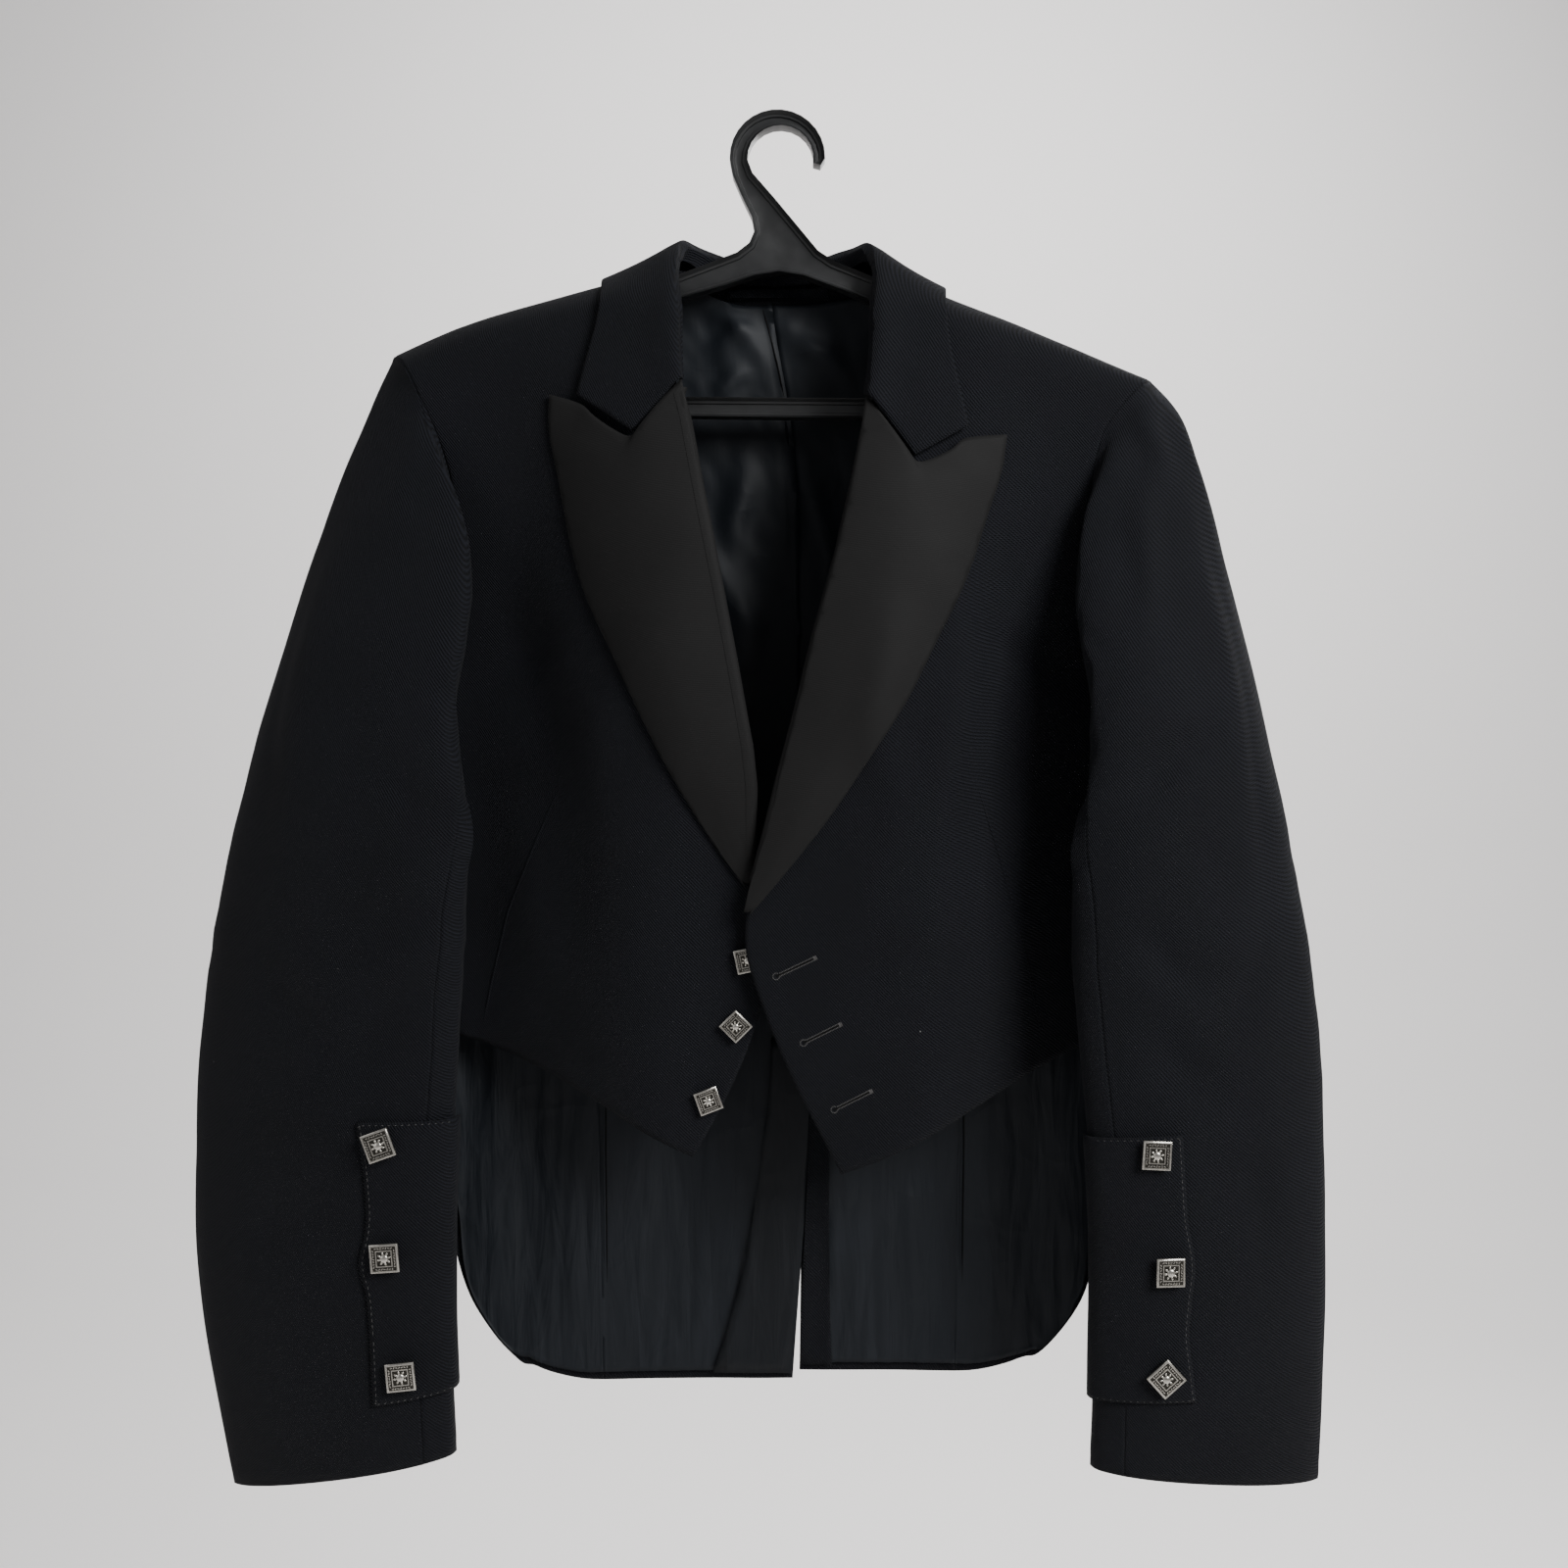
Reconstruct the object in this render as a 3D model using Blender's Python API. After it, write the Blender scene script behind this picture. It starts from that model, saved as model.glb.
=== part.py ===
"""Prince Charlie jacket hung on a plastic hanger, at its real size in metres.

+Z is up, the front faces -Y, and left and right are the wearer's, so left is +X.
The origin is the seat inside the hanger's hook, at the middle of its thickness.
Each cloth panel is a sheet laid out between four seams or edges, shaped by the body's
sections, and given its thickness inwards.
"""

import math
from collections import namedtuple

import bmesh
import bpy
from mathutils import Matrix, Vector

SIDES = {"left": 1, "right": -1}

# Cloth
WOOL = 0.0020
SATIN = 0.0012
LINING = 0.0010
SEAM_GAP = 0.0003
LAYER_GAP = 0.0004

# The body's cross-sections, from the neck down: how far each sheet lies from the hanger's
# plane, and how the side turns from the front sheet to the back sheet.
Section = namedtuple("Section", "z half_width side_radius chest side_front side_back back")
BODY = [
    Section(-0.075, 0.2150, 0.020, -0.022, -0.0220, 0.0190, 0.0210),
    Section(-0.120, 0.2150, 0.020, -0.032, -0.0230, 0.0200, 0.0230),
    Section(-0.160, 0.2145, 0.020, -0.044, -0.0230, 0.0200, 0.0245),
    Section(-0.200, 0.2140, 0.020, -0.053, -0.0220, 0.0200, 0.0260),
    Section(-0.260, 0.2130, 0.020, -0.060, -0.0190, 0.0190, 0.0265),
    Section(-0.340, 0.2120, 0.020, -0.063, -0.0140, 0.0170, 0.0240),
    Section(-0.420, 0.2100, 0.020, -0.062, -0.0110, 0.0150, 0.0200),
    Section(-0.500, 0.2080, 0.020, -0.059, -0.0100, 0.0150, 0.0190),
    Section(-0.560, 0.2060, 0.017, -0.054, -0.0080, 0.0150, 0.0200),
    Section(-0.620, 0.2040, 0.010, -0.049, 0.0000, 0.0160, 0.0210),
    Section(-0.680, 0.2000, 0.005, -0.046, 0.0080, 0.0170, 0.0220),
    Section(-0.760, 0.1980, 0.004, -0.046, 0.0100, 0.0180, 0.0230),
]
FRONT_FLAT = 0.050
BACK_FLAT = 0.060

# The shoulder line over the hanger, and how round the cloth turns over it
Outline = namedtuple("Outline", "x z")
SHOULDER_LINE = [
    Outline(-0.2600, -0.1550),
    Outline(-0.2260, -0.1380),
    Outline(-0.2005, -0.1250),
    Outline(-0.1715, -0.1139),
    Outline(-0.1366, -0.1041),
    Outline(-0.1046, -0.0953),
    Outline(-0.0700, -0.0865),
    Outline(0.0000, -0.0690),
    Outline(0.0640, -0.0890),
    Outline(0.0918, -0.1006),
    Outline(0.1192, -0.1128),
    Outline(0.1540, -0.1279),
    Outline(0.1831, -0.1401),
    Outline(0.2139, -0.1546),
    Outline(0.2500, -0.1720),
]
Turn = namedtuple("Turn", "drop arc")
FRONT_TURN = Turn(0.024, 0.034)
BACK_TURN = Turn(0.020, 0.028)
NECK_X = {"left": 0.0640, "right": -0.0660}
SHOULDER_TIP_X = {"left": 0.2150, "right": -0.2245}

# The centre edge of each front: the roll line down to the button, then the cutaway
Edge = namedtuple("Edge", "z x")
CENTRE_EDGE = {
    "right": [
        Edge(-0.0780, -0.0640),
        Edge(-0.1057, -0.0585),
        Edge(-0.1302, -0.0591),
        Edge(-0.1574, -0.0569),
        Edge(-0.1846, -0.0515),
        Edge(-0.2281, -0.0433),
        Edge(-0.2824, -0.0324),
        Edge(-0.3259, -0.0243),
        Edge(-0.3695, -0.0167),
        Edge(-0.3912, -0.0145),
        Edge(-0.4459, -0.0146),
        Edge(-0.4678, -0.0069),
        Edge(-0.4880, -0.0053),
        Edge(-0.5115, -0.0091),
        Edge(-0.5345, -0.0162),
        Edge(-0.5607, -0.0272),
        Edge(-0.5799, -0.0365),
        Edge(-0.6000, -0.0485),
    ],
    "left": [
        Edge(-0.0780, 0.0620),
        Edge(-0.1057, 0.0551),
        Edge(-0.1193, 0.0556),
        Edge(-0.1411, 0.0546),
        Edge(-0.1726, 0.0508),
        Edge(-0.2172, 0.0426),
        Edge(-0.2607, 0.0328),
        Edge(-0.3042, 0.0208),
        Edge(-0.3450, 0.0111),
        Edge(-0.3803, 0.0018),
        Edge(-0.4129, -0.0063),
        Edge(-0.4401, -0.0145),
        Edge(-0.4619, -0.0195),
        Edge(-0.4700, -0.0199),
        Edge(-0.4809, -0.0178),
        Edge(-0.5000, -0.0134),
        Edge(-0.5217, -0.0053),
        Edge(-0.5434, 0.0029),
        Edge(-0.5652, 0.0138),
        Edge(-0.5897, 0.0247),
        Edge(-0.6085, 0.0350),
    ],
}
ROLL_TURN = 0.0020
FRONT_HEM = {
    "right": [
        Outline(-0.0485, -0.6000),
        Outline(-0.0745, -0.5865),
        Outline(-0.0983, -0.5726),
        Outline(-0.1299, -0.5571),
        Outline(-0.1630, -0.5439),
        Outline(-0.1850, -0.5365),
    ],
    "left": [
        Outline(0.0350, -0.6085),
        Outline(0.0693, -0.5959),
        Outline(0.1025, -0.5793),
        Outline(0.1456, -0.5571),
        Outline(0.1661, -0.5477),
        Outline(0.1850, -0.5400),
    ],
}
ARMPIT_Z = -0.345
FRONT_ARMHOLE = {
    "right": [
        Edge(-0.1270, -0.2245),
        Edge(-0.1578, -0.2109),
        Edge(-0.1763, -0.2024),
        Edge(-0.1943, -0.1957),
        Edge(-0.2112, -0.1906),
        Edge(-0.2337, -0.1872),
        Edge(-0.2620, -0.1850),
        Edge(-0.2900, -0.1850),
        Edge(-0.3150, -0.1875),
        Edge(ARMPIT_Z, -0.1919),
    ],
    "left": [
        Edge(-0.1450, 0.2150),
        Edge(-0.1634, 0.2071),
        Edge(-0.1758, 0.1960),
        Edge(-0.1887, 0.1890),
        Edge(-0.1999, 0.1850),
        Edge(-0.2224, 0.1815),
        Edge(-0.2500, 0.1800),
        Edge(-0.2800, 0.1810),
        Edge(-0.3150, 0.1855),
        Edge(ARMPIT_Z, 0.1919),
    ],
}

# The back: its centre seam and vent, its armholes and the curved seams to the side bodies
CENTRE_BACK = [
    Edge(-0.0850, -0.0060),
    Edge(-0.1200, -0.0015),
    Edge(-0.1540, 0.0048),
    Edge(-0.1830, 0.0088),
    Edge(-0.2490, 0.0118),
    Edge(-0.5930, 0.0134),
]
VENT_EDGE = {
    "right": [Edge(-0.6524, 0.0100), Edge(-0.7118, 0.0065), Edge(-0.7500, 0.0041)],
    "left": [Edge(-0.6524, 0.0134), Edge(-0.7118, 0.0130), Edge(-0.7470, 0.0124)],
}
BACK_NECK = [Outline(0.0000, -0.0900), Outline(0.0350, -0.0885), Outline(0.0560, -0.0830)]
BACK_SIDE = [
    Edge(-0.1750, 0.1990),
    Edge(-0.2000, 0.1890),
    Edge(-0.2300, 0.1840),
    Edge(-0.2650, 0.1800),
    Edge(-0.3000, 0.1630),
    Edge(-0.3400, 0.1470),
    Edge(-0.4000, 0.1300),
    Edge(-0.5000, 0.1150),
    Edge(-0.6000, 0.1085),
    Edge(-0.7600, 0.1060),
]
BACK_SEAM_TOP_Z = -0.265
Dip = namedtuple("Dip", "across z")
SIDE_ARMHOLE = [
    Dip(0.00, ARMPIT_Z),
    Dip(0.20, -0.3510),
    Dip(0.45, -0.3420),
    Dip(0.75, -0.3080),
    Dip(1.00, BACK_SEAM_TOP_Z),
]
TAIL_HEM_Z = {"right": -0.7490, "left": -0.7440}
TAIL_CORNER = {
    "right": [
        Edge(-0.6400, 0.1970),
        Edge(-0.6738, 0.1937),
        Edge(-0.6974, 0.1855),
        Edge(-0.7180, 0.1737),
        Edge(-0.7356, 0.1590),
    ],
    "left": [
        Edge(-0.6400, 0.1940),
        Edge(-0.6700, 0.1900),
        Edge(-0.6974, 0.1825),
        Edge(-0.7150, 0.1750),
        Edge(-0.7300, 0.1590),
    ],
}

# Rows of each panel above and below its armhole, so that neighbours meet row by row
FRONT_ROWS = (9, 8)
BACK_ROWS = (6, 15)
SIDE_ROWS = (8, 7)
SIDE_COLUMNS = 6
BACK_COLUMNS = 8
SHOULDER_CROWD = 1.6
HINDARM_COLUMN = -3
FOREARM_COLUMN = 7

# Soft folds in the body's cloth: each runs from one point to another, and a positive depth
# pushes the cloth outwards.
Fold = namedtuple("Fold", "x0 z0 x1 z1 width depth")
FRONT_FOLDS = [
    Fold(0.100, -0.300, 0.085, -0.500, 0.018, 0.0030),
    Fold(0.140, -0.260, 0.132, -0.430, 0.014, -0.0030),
    Fold(0.062, -0.430, 0.060, -0.590, 0.016, -0.0020),
    Fold(-0.150, -0.260, -0.120, -0.420, 0.015, -0.0030),
    Fold(-0.100, -0.360, -0.085, -0.560, 0.018, 0.0030),
    Fold(-0.150, -0.440, -0.150, -0.540, 0.012, 0.0020),
]
BACK_FOLDS = [
    Fold(-0.060, -0.300, -0.050, -0.700, 0.018, 0.0030),
    Fold(0.070, -0.330, 0.058, -0.700, 0.018, 0.0030),
    Fold(-0.130, -0.180, -0.100, -0.420, 0.016, -0.0030),
    Fold(0.135, -0.180, 0.108, -0.400, 0.016, -0.0030),
    Fold(-0.150, -0.560, -0.155, -0.720, 0.014, 0.0030),
    Fold(0.150, -0.560, 0.155, -0.720, 0.014, 0.0030),
]
UNDERLAP = 0.0085

# Lapels: from the roll line out to the peak and down the outer edge
LAPEL_TOP = {
    "right": [
        Outline(-0.0545, -0.1617),
        Outline(-0.0690, -0.1796),
        Outline(-0.0830, -0.1984),
        Outline(-0.1118, -0.1753),
        Outline(-0.1270, -0.1675),
    ],
    "left": [
        Outline(0.0490, -0.1716),
        Outline(0.0640, -0.1932),
        Outline(0.0774, -0.2140),
        Outline(0.1051, -0.1975),
        Outline(0.1275, -0.1950),
    ],
}
LAPEL_EDGE = {
    "right": [
        Edge(-0.1675, -0.1270),
        Edge(-0.1791, -0.1314),
        Edge(-0.2009, -0.1276),
        Edge(-0.2281, -0.1222),
        Edge(-0.2607, -0.1151),
        Edge(-0.2879, -0.1059),
        Edge(-0.3124, -0.0939),
        Edge(-0.3450, -0.0787),
        Edge(-0.3803, -0.0613),
        Edge(-0.4157, -0.0406),
        Edge(-0.4445, -0.0200),
    ],
    "left": [
        Edge(-0.1950, 0.1275),
        Edge(-0.2145, 0.1262),
        Edge(-0.2389, 0.1171),
        Edge(-0.2607, 0.1100),
        Edge(-0.2879, 0.0981),
        Edge(-0.3096, 0.0872),
        Edge(-0.3423, 0.0709),
        Edge(-0.3722, 0.0518),
        Edge(-0.4048, 0.0301),
        Edge(-0.4293, 0.0111),
        Edge(-0.4456, -0.0025),
        Edge(-0.4600, -0.0150),
    ],
}
LAPEL_BELLY = 0.0040
LAPEL_THICK = 0.0018

# Collar stations from the right front end, round the back of the neck, to the left front end.
# roll is the top of the fold, edge the outer edge of the fall, seam the foot of the stand;
# facing is the way the fall looks, 0 to the front and 180 to the back.
Station = namedtuple("Station", "roll edge seam facing dip")
COLLAR = [
    Station((-0.0564, -0.0500, -0.1612), (-0.1145, -0.0385, -0.1680), (-0.0560, -0.0430, -0.1600), 0, 0.0265),
    Station((-0.0585, -0.0440, -0.1400), (-0.1095, -0.0340, -0.1470), (-0.0572, -0.0370, -0.1390), 0, 0.0120),
    Station((-0.0592, -0.0370, -0.1180), (-0.1050, -0.0300, -0.1280), (-0.0575, -0.0310, -0.1170), 8, 0.0040),
    Station((-0.0612, -0.0260, -0.0960), (-0.1025, -0.0210, -0.1100), (-0.0608, -0.0190, -0.0965), 25, 0.0),
    Station((-0.0600, -0.0120, -0.0770), (-0.1040, -0.0020, -0.0915), (-0.0620, -0.0090, -0.0830), 75, 0.0),
    Station((-0.0560, 0.0020, -0.0680), (-0.0980, 0.0200, -0.1020), (-0.0575, 0.0010, -0.0780), 125, 0.0),
    Station((-0.0400, 0.0150, -0.0710), (-0.0650, 0.0280, -0.1160), (-0.0400, 0.0140, -0.0840), 160, 0.0),
    Station((-0.0180, 0.0200, -0.0765), (-0.0280, 0.0310, -0.1220), (-0.0180, 0.0180, -0.0875), 175, 0.0),
    Station((0.0020, 0.0210, -0.0785), (0.0060, 0.0315, -0.1230), (0.0020, 0.0190, -0.0880), 180, 0.0),
    Station((0.0200, 0.0190, -0.0750), (0.0380, 0.0310, -0.1220), (0.0200, 0.0175, -0.0865), 188, 0.0),
    Station((0.0380, 0.0130, -0.0705), (0.0700, 0.0270, -0.1170), (0.0370, 0.0120, -0.0830), 202, 0.0),
    Station((0.0510, 0.0000, -0.0700), (0.0950, 0.0170, -0.1080), (0.0520, -0.0010, -0.0790), 235, 0.0),
    Station((0.0560, -0.0130, -0.0800), (0.0980, -0.0040, -0.0990), (0.0575, -0.0100, -0.0860), 290, 0.0),
    Station((0.0572, -0.0260, -0.0980), (0.0960, -0.0220, -0.1170), (0.0566, -0.0190, -0.0980), 338, 0.0),
    Station((0.0557, -0.0370, -0.1190), (0.0975, -0.0320, -0.1400), (0.0535, -0.0320, -0.1180), 352, 0.0040),
    Station((0.0548, -0.0450, -0.1450), (0.1020, -0.0380, -0.1640), (0.0530, -0.0390, -0.1440), 360, 0.0120),
    Station((0.0510, -0.0535, -0.1710), (0.1070, -0.0430, -0.1890), (0.0495, -0.0470, -0.1700), 360, 0.0265),
]
COLLAR_TURN = 0.0026
COLLAR_NOTCH_AT = 0.45
COLLAR_CLEAR = 0.0012
COLLAR_PROFILE = (-1.0, -0.5, -0.2, 0.0, 0.07, 0.20, 0.45, 0.72, 1.0)

# Sleeves, from the armhole to the cuff: the segment from the outer to the inner edge as seen
# from the front, the depth of each edge, the half depths and how far the middle is pulled
# towards the body.
Ring = namedtuple(
    "Ring", "outer_x outer_z inner_x inner_z outer_y inner_y front back saddle_front saddle_back join lap"
)
LAP_SWELL = 1.6
SLEEVE = {
    "right": [
        Ring(0.2245, -0.1400, 0.1960, -0.3450, 0.000, 0.001, 0.020, 0.016, 0.020, 0.018, 0.00, 0.000),
        Ring(0.2350, -0.1600, 0.2160, -0.3500, 0.000, -0.004, 0.030, 0.018, 0.044, 0.026, 0.45, 0.000),
        Ring(0.2450, -0.1870, 0.2200, -0.3620, -0.002, -0.016, 0.038, 0.021, 0.062, 0.024, 0.85, 0.008),
        Ring(0.2570, -0.2180, 0.2160, -0.3760, -0.004, -0.034, 0.038, 0.022, 0.060, 0.016, 1.00, 0.022),
        Ring(0.2690, -0.2550, 0.2020, -0.3900, -0.006, -0.048, 0.037, 0.023, 0.044, 0.008, 1.00, 0.026),
        Ring(0.2820, -0.2990, 0.1860, -0.4060, -0.008, -0.055, 0.036, 0.025, 0.022, 0.004, 1.00, 0.017),
        Ring(0.2940, -0.3450, 0.1745, -0.4240, -0.010, -0.056, 0.035, 0.027, 0.008, 0.000, 1.00, 0.009),
        Ring(0.3080, -0.3990, 0.1730, -0.4480, -0.012, -0.058, 0.033, 0.026, 0.002, 0.000, 1.00, 0.003),
        Ring(0.3190, -0.4500, 0.1745, -0.4780, -0.013, -0.058, 0.031, 0.025, 0.000, 0.000, 1.00, 0.000),
        Ring(0.3290, -0.5020, 0.1770, -0.5160, -0.014, -0.057, 0.029, 0.024, 0.000, 0.000, 1.00, 0.000),
        Ring(0.3360, -0.5500, 0.1790, -0.5560, -0.015, -0.056, 0.027, 0.023, 0.000, 0.000, 1.00, 0.000),
        Ring(0.3390, -0.5960, 0.1805, -0.5980, -0.016, -0.055, 0.026, 0.022, 0.000, 0.000, 1.00, 0.000),
        Ring(0.3390, -0.6440, 0.1820, -0.6420, -0.017, -0.054, 0.025, 0.021, 0.000, 0.000, 1.00, 0.000),
        Ring(0.3350, -0.6940, 0.1825, -0.6860, -0.018, -0.052, 0.024, 0.020, 0.000, 0.000, 1.00, 0.000),
        Ring(0.3270, -0.7440, 0.1820, -0.7280, -0.018, -0.050, 0.023, 0.019, 0.000, 0.000, 1.00, 0.000),
        Ring(0.3180, -0.7930, 0.1808, -0.7640, -0.018, -0.048, 0.021, 0.018, 0.000, 0.000, 1.00, 0.000),
    ],
    "left": [
        Ring(0.2150, -0.1560, 0.1960, -0.3450, 0.000, 0.001, 0.020, 0.016, 0.020, 0.018, 0.00, 0.000),
        Ring(0.2270, -0.1680, 0.2160, -0.3500, 0.000, -0.004, 0.030, 0.018, 0.044, 0.026, 0.45, 0.000),
        Ring(0.2380, -0.1900, 0.2200, -0.3620, -0.002, -0.016, 0.038, 0.021, 0.062, 0.024, 0.85, 0.008),
        Ring(0.2480, -0.2260, 0.2150, -0.3780, -0.004, -0.034, 0.038, 0.022, 0.062, 0.016, 1.00, 0.022),
        Ring(0.2580, -0.2620, 0.2000, -0.3920, -0.006, -0.048, 0.037, 0.023, 0.046, 0.008, 1.00, 0.026),
        Ring(0.2690, -0.3060, 0.1820, -0.4080, -0.008, -0.055, 0.036, 0.025, 0.022, 0.004, 1.00, 0.017),
        Ring(0.2800, -0.3540, 0.1670, -0.4260, -0.010, -0.056, 0.035, 0.027, 0.008, 0.000, 1.00, 0.009),
        Ring(0.2910, -0.4010, 0.1630, -0.4500, -0.012, -0.058, 0.033, 0.026, 0.002, 0.000, 1.00, 0.003),
        Ring(0.3010, -0.4500, 0.1630, -0.4780, -0.013, -0.058, 0.031, 0.025, 0.000, 0.000, 1.00, 0.000),
        Ring(0.3090, -0.4990, 0.1660, -0.5140, -0.014, -0.057, 0.029, 0.024, 0.000, 0.000, 1.00, 0.000),
        Ring(0.3150, -0.5460, 0.1695, -0.5530, -0.015, -0.056, 0.027, 0.023, 0.000, 0.000, 1.00, 0.000),
        Ring(0.3175, -0.5940, 0.1735, -0.5970, -0.016, -0.055, 0.026, 0.022, 0.000, 0.000, 1.00, 0.000),
        Ring(0.3185, -0.6430, 0.1755, -0.6440, -0.017, -0.054, 0.025, 0.021, 0.000, 0.000, 1.00, 0.000),
        Ring(0.3180, -0.6930, 0.1760, -0.6900, -0.018, -0.052, 0.024, 0.020, 0.000, 0.000, 1.00, 0.000),
        Ring(0.3165, -0.7420, 0.1757, -0.7340, -0.018, -0.050, 0.023, 0.019, 0.000, 0.000, 1.00, 0.000),
        Ring(0.3150, -0.7900, 0.1747, -0.7720, -0.018, -0.048, 0.021, 0.018, 0.000, 0.000, 1.00, 0.000),
    ],
}
# The lining inside the back, and the cloth that faces the vent
LINING_BACK_ROW = 1
LINING_SIDE_ROW = 3
LINING_HEM_TRIM = 0.16
LINING_EDGE_TRIM = 0.22
VENT_INSET = 0.0045
FACING = 0.0012
LOOP_THICK = 0.0010
Strip = namedtuple("Strip", "x0 x1 top foot under")
NECK_FACING = Strip(-0.0320, 0.0305, -0.0900, -0.0958, WOOL + 2 * LAYER_GAP)
HANGING_LOOP = Strip(-0.0300, 0.0118, -0.0908, -0.0952, WOOL + FACING + 3 * LAYER_GAP)
VENT_FACING = {
    "right": [Edge(-0.6045, -0.0119), Edge(-0.6815, -0.0226), Edge(-0.7500, -0.0433)],
    "left": [Edge(-0.6045, 0.0219), Edge(-0.6519, 0.0254), Edge(-0.7467, 0.0325)],
}

# Where the two sleeve seams run round the sleeve, in degrees from its outer edge over the front
SleeveSeam = namedtuple("SleeveSeam", "down hindarm forearm")
SLEEVE_SEAMS = [
    SleeveSeam(0.00, -55.0, 128.0),
    SleeveSeam(0.30, -40.0, 146.0),
    SleeveSeam(0.60, -15.0, 148.0),
    SleeveSeam(0.80, 8.0, 143.0),
    SleeveSeam(1.00, 18.0, 139.0),
]

# Cuff flaps: the scalloped edge, and the places of the buttons on it
FLAP_TOP_Z = {"right": (-0.5755, -0.5735), "left": (-0.5825, -0.5845)}
FLAP_FOOT_Z = {"right": (-0.7330, -0.7250), "left": (-0.7315, -0.7320)}
FLAP_EDGE = {
    "right": [
        Edge(-0.5755, 0.2317),
        Edge(-0.6061, 0.2273),
        Edge(-0.6291, 0.2262),
        Edge(-0.6411, 0.2279),
        Edge(-0.6521, 0.2312),
        Edge(-0.6614, 0.2279),
        Edge(-0.6717, 0.2268),
        Edge(-0.6936, 0.2251),
        Edge(-0.7330, 0.2241),
    ],
    "left": [
        Edge(-0.5825, 0.2217),
        Edge(-0.6165, 0.2238),
        Edge(-0.6351, 0.2255),
        Edge(-0.6537, 0.2293),
        Edge(-0.6717, 0.2277),
        Edge(-0.6936, 0.2260),
        Edge(-0.7117, 0.2282),
        Edge(-0.7315, 0.2309),
    ],
}
FLAP_WRAP = 182.0
FLAP_THICK = 0.0016
FLAP_SLACK = 0.0014
ButtonPlace = namedtuple("ButtonPlace", "x z turn")
CUFF_BUTTONS = {
    "right": [
        ButtonPlace(-0.2184, -0.5864, 20),
        ButtonPlace(-0.2157, -0.6484, 4),
        ButtonPlace(-0.2081, -0.7147, 5),
    ],
    "left": [
        ButtonPlace(0.2065, -0.5918, -3),
        ButtonPlace(0.2144, -0.6565, 0),
        ButtonPlace(0.2128, -0.7158, 42),
    ],
}
FRONT_BUTTONS = [
    ButtonPlace(-0.0175, -0.4874, 12),
    ButtonPlace(-0.0240, -0.5244, 45),
    ButtonPlace(-0.0400, -0.5668, 20),
]
BUTTON_SIDE = 0.0160
BUTTON_THICK = 0.0024
BUTTON_SHANK = 0.0016

# Hanger
HANGER_THICK = 0.0090
HANGER_RIM = 0.0018
HANGER_RECESS = 0.0028
Arc = namedtuple("Arc", "x z radius start end steps")
HOOK_INSIDE = Arc(0.0009, -0.0195, 0.0195, -8, 183, 12)
HOOK_OUTSIDE = Arc(-0.0009, -0.0189, 0.0282, 182, 12, 14)
HOOK_TIP = [Outline(0.0273, -0.0195), Outline(0.0245, -0.0235)]
NECK_OUTER = [
    Outline(-0.0272, -0.0295),
    Outline(-0.0220, -0.0416),
    Outline(-0.0160, -0.0540),
    Outline(-0.0145, -0.0625),
    Outline(-0.0175, -0.0695),
    Outline(-0.0249, -0.0752),
    Outline(-0.0631, -0.0897),
]
NECK_INNER = [
    Outline(-0.0156, -0.0283),
    Outline(-0.0029, -0.0428),
    Outline(0.0116, -0.0602),
    Outline(0.0230, -0.0740),
    Outline(0.0320, -0.0800),
    Outline(0.0567, -0.0900),
]
ARM_END = {
    "right": [Outline(-0.2010, -0.1330), Outline(-0.2045, -0.1420), Outline(-0.2040, -0.1560),
              Outline(-0.1980, -0.1660), Outline(-0.1880, -0.1700)],
    "left": [Outline(0.1930, -0.1510), Outline(0.1965, -0.1590), Outline(0.1945, -0.1680),
             Outline(0.1880, -0.1735), Outline(0.1800, -0.1745)],
}
ARM_DEPTH = 0.0145
ARM_SEAT = 0.0055
ARM_AT = {"right": (-0.1046, -0.1366, -0.1715, -0.1930), "left": (0.0918, 0.1192, 0.1540, 0.1800)}
ARM_UNDER_NECK = [Outline(-0.0318, -0.0943), Outline(-0.0145, -0.0885), Outline(0.0000, -0.0862),
                  Outline(0.0145, -0.0885), Outline(0.0376, -0.0970)]
BAR_Z = {"right": -0.1595, "left": -0.1622}
BAR_END = 0.965
HOLE_END = 0.99
HOLE_CORNER = 0.62


def curve(keys, values, at):
    """A value between the rows of a table, along a curve that never overshoots."""
    if keys[0] > keys[-1]:
        keys, values = keys[::-1], values[::-1]
    if at <= keys[0]:
        return values[0]
    if at >= keys[-1]:
        return values[-1]
    last = len(keys) - 1
    i = max(k for k in range(last) if keys[k] <= at)

    def slope(k):
        return (values[k + 1] - values[k]) / (keys[k + 1] - keys[k])

    def tangent(k):
        if k in (0, last):
            return slope(min(k, last - 1))
        before, after = slope(k - 1), slope(k)
        return 0.0 if before * after <= 0 else 2 * before * after / (before + after)

    span = keys[i + 1] - keys[i]
    t = (at - keys[i]) / span
    bend = t * (1 - t) * ((1 - t) * (tangent(i) - slope(i)) - t * (tangent(i + 1) - slope(i)))
    return mix(values[i], values[i + 1], t) + span * bend


def between(rows, at, column):
    """One column of a table at a place between its rows, whose first column is the place."""
    return curve([row[0] for row in rows], [getattr(row, column) for row in rows], at)


def straight(keys, values, at):
    """A value between the rows of a table along straight stretches."""
    for i in range(len(keys) - 2):
        if at < keys[i + 1]:
            break
    else:
        i = len(keys) - 2
    return mix(values[i], values[i + 1], (at - keys[i]) / (keys[i + 1] - keys[i]))


def ramp(value, start, end):
    """0 before start, 1 past end, and a smooth rise between them."""
    t = min(1.0, max(0.0, (value - start) / (end - start)))
    return t * t * (3 - 2 * t)


def mix(a, b, t):
    return a + (b - a) * t


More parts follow.
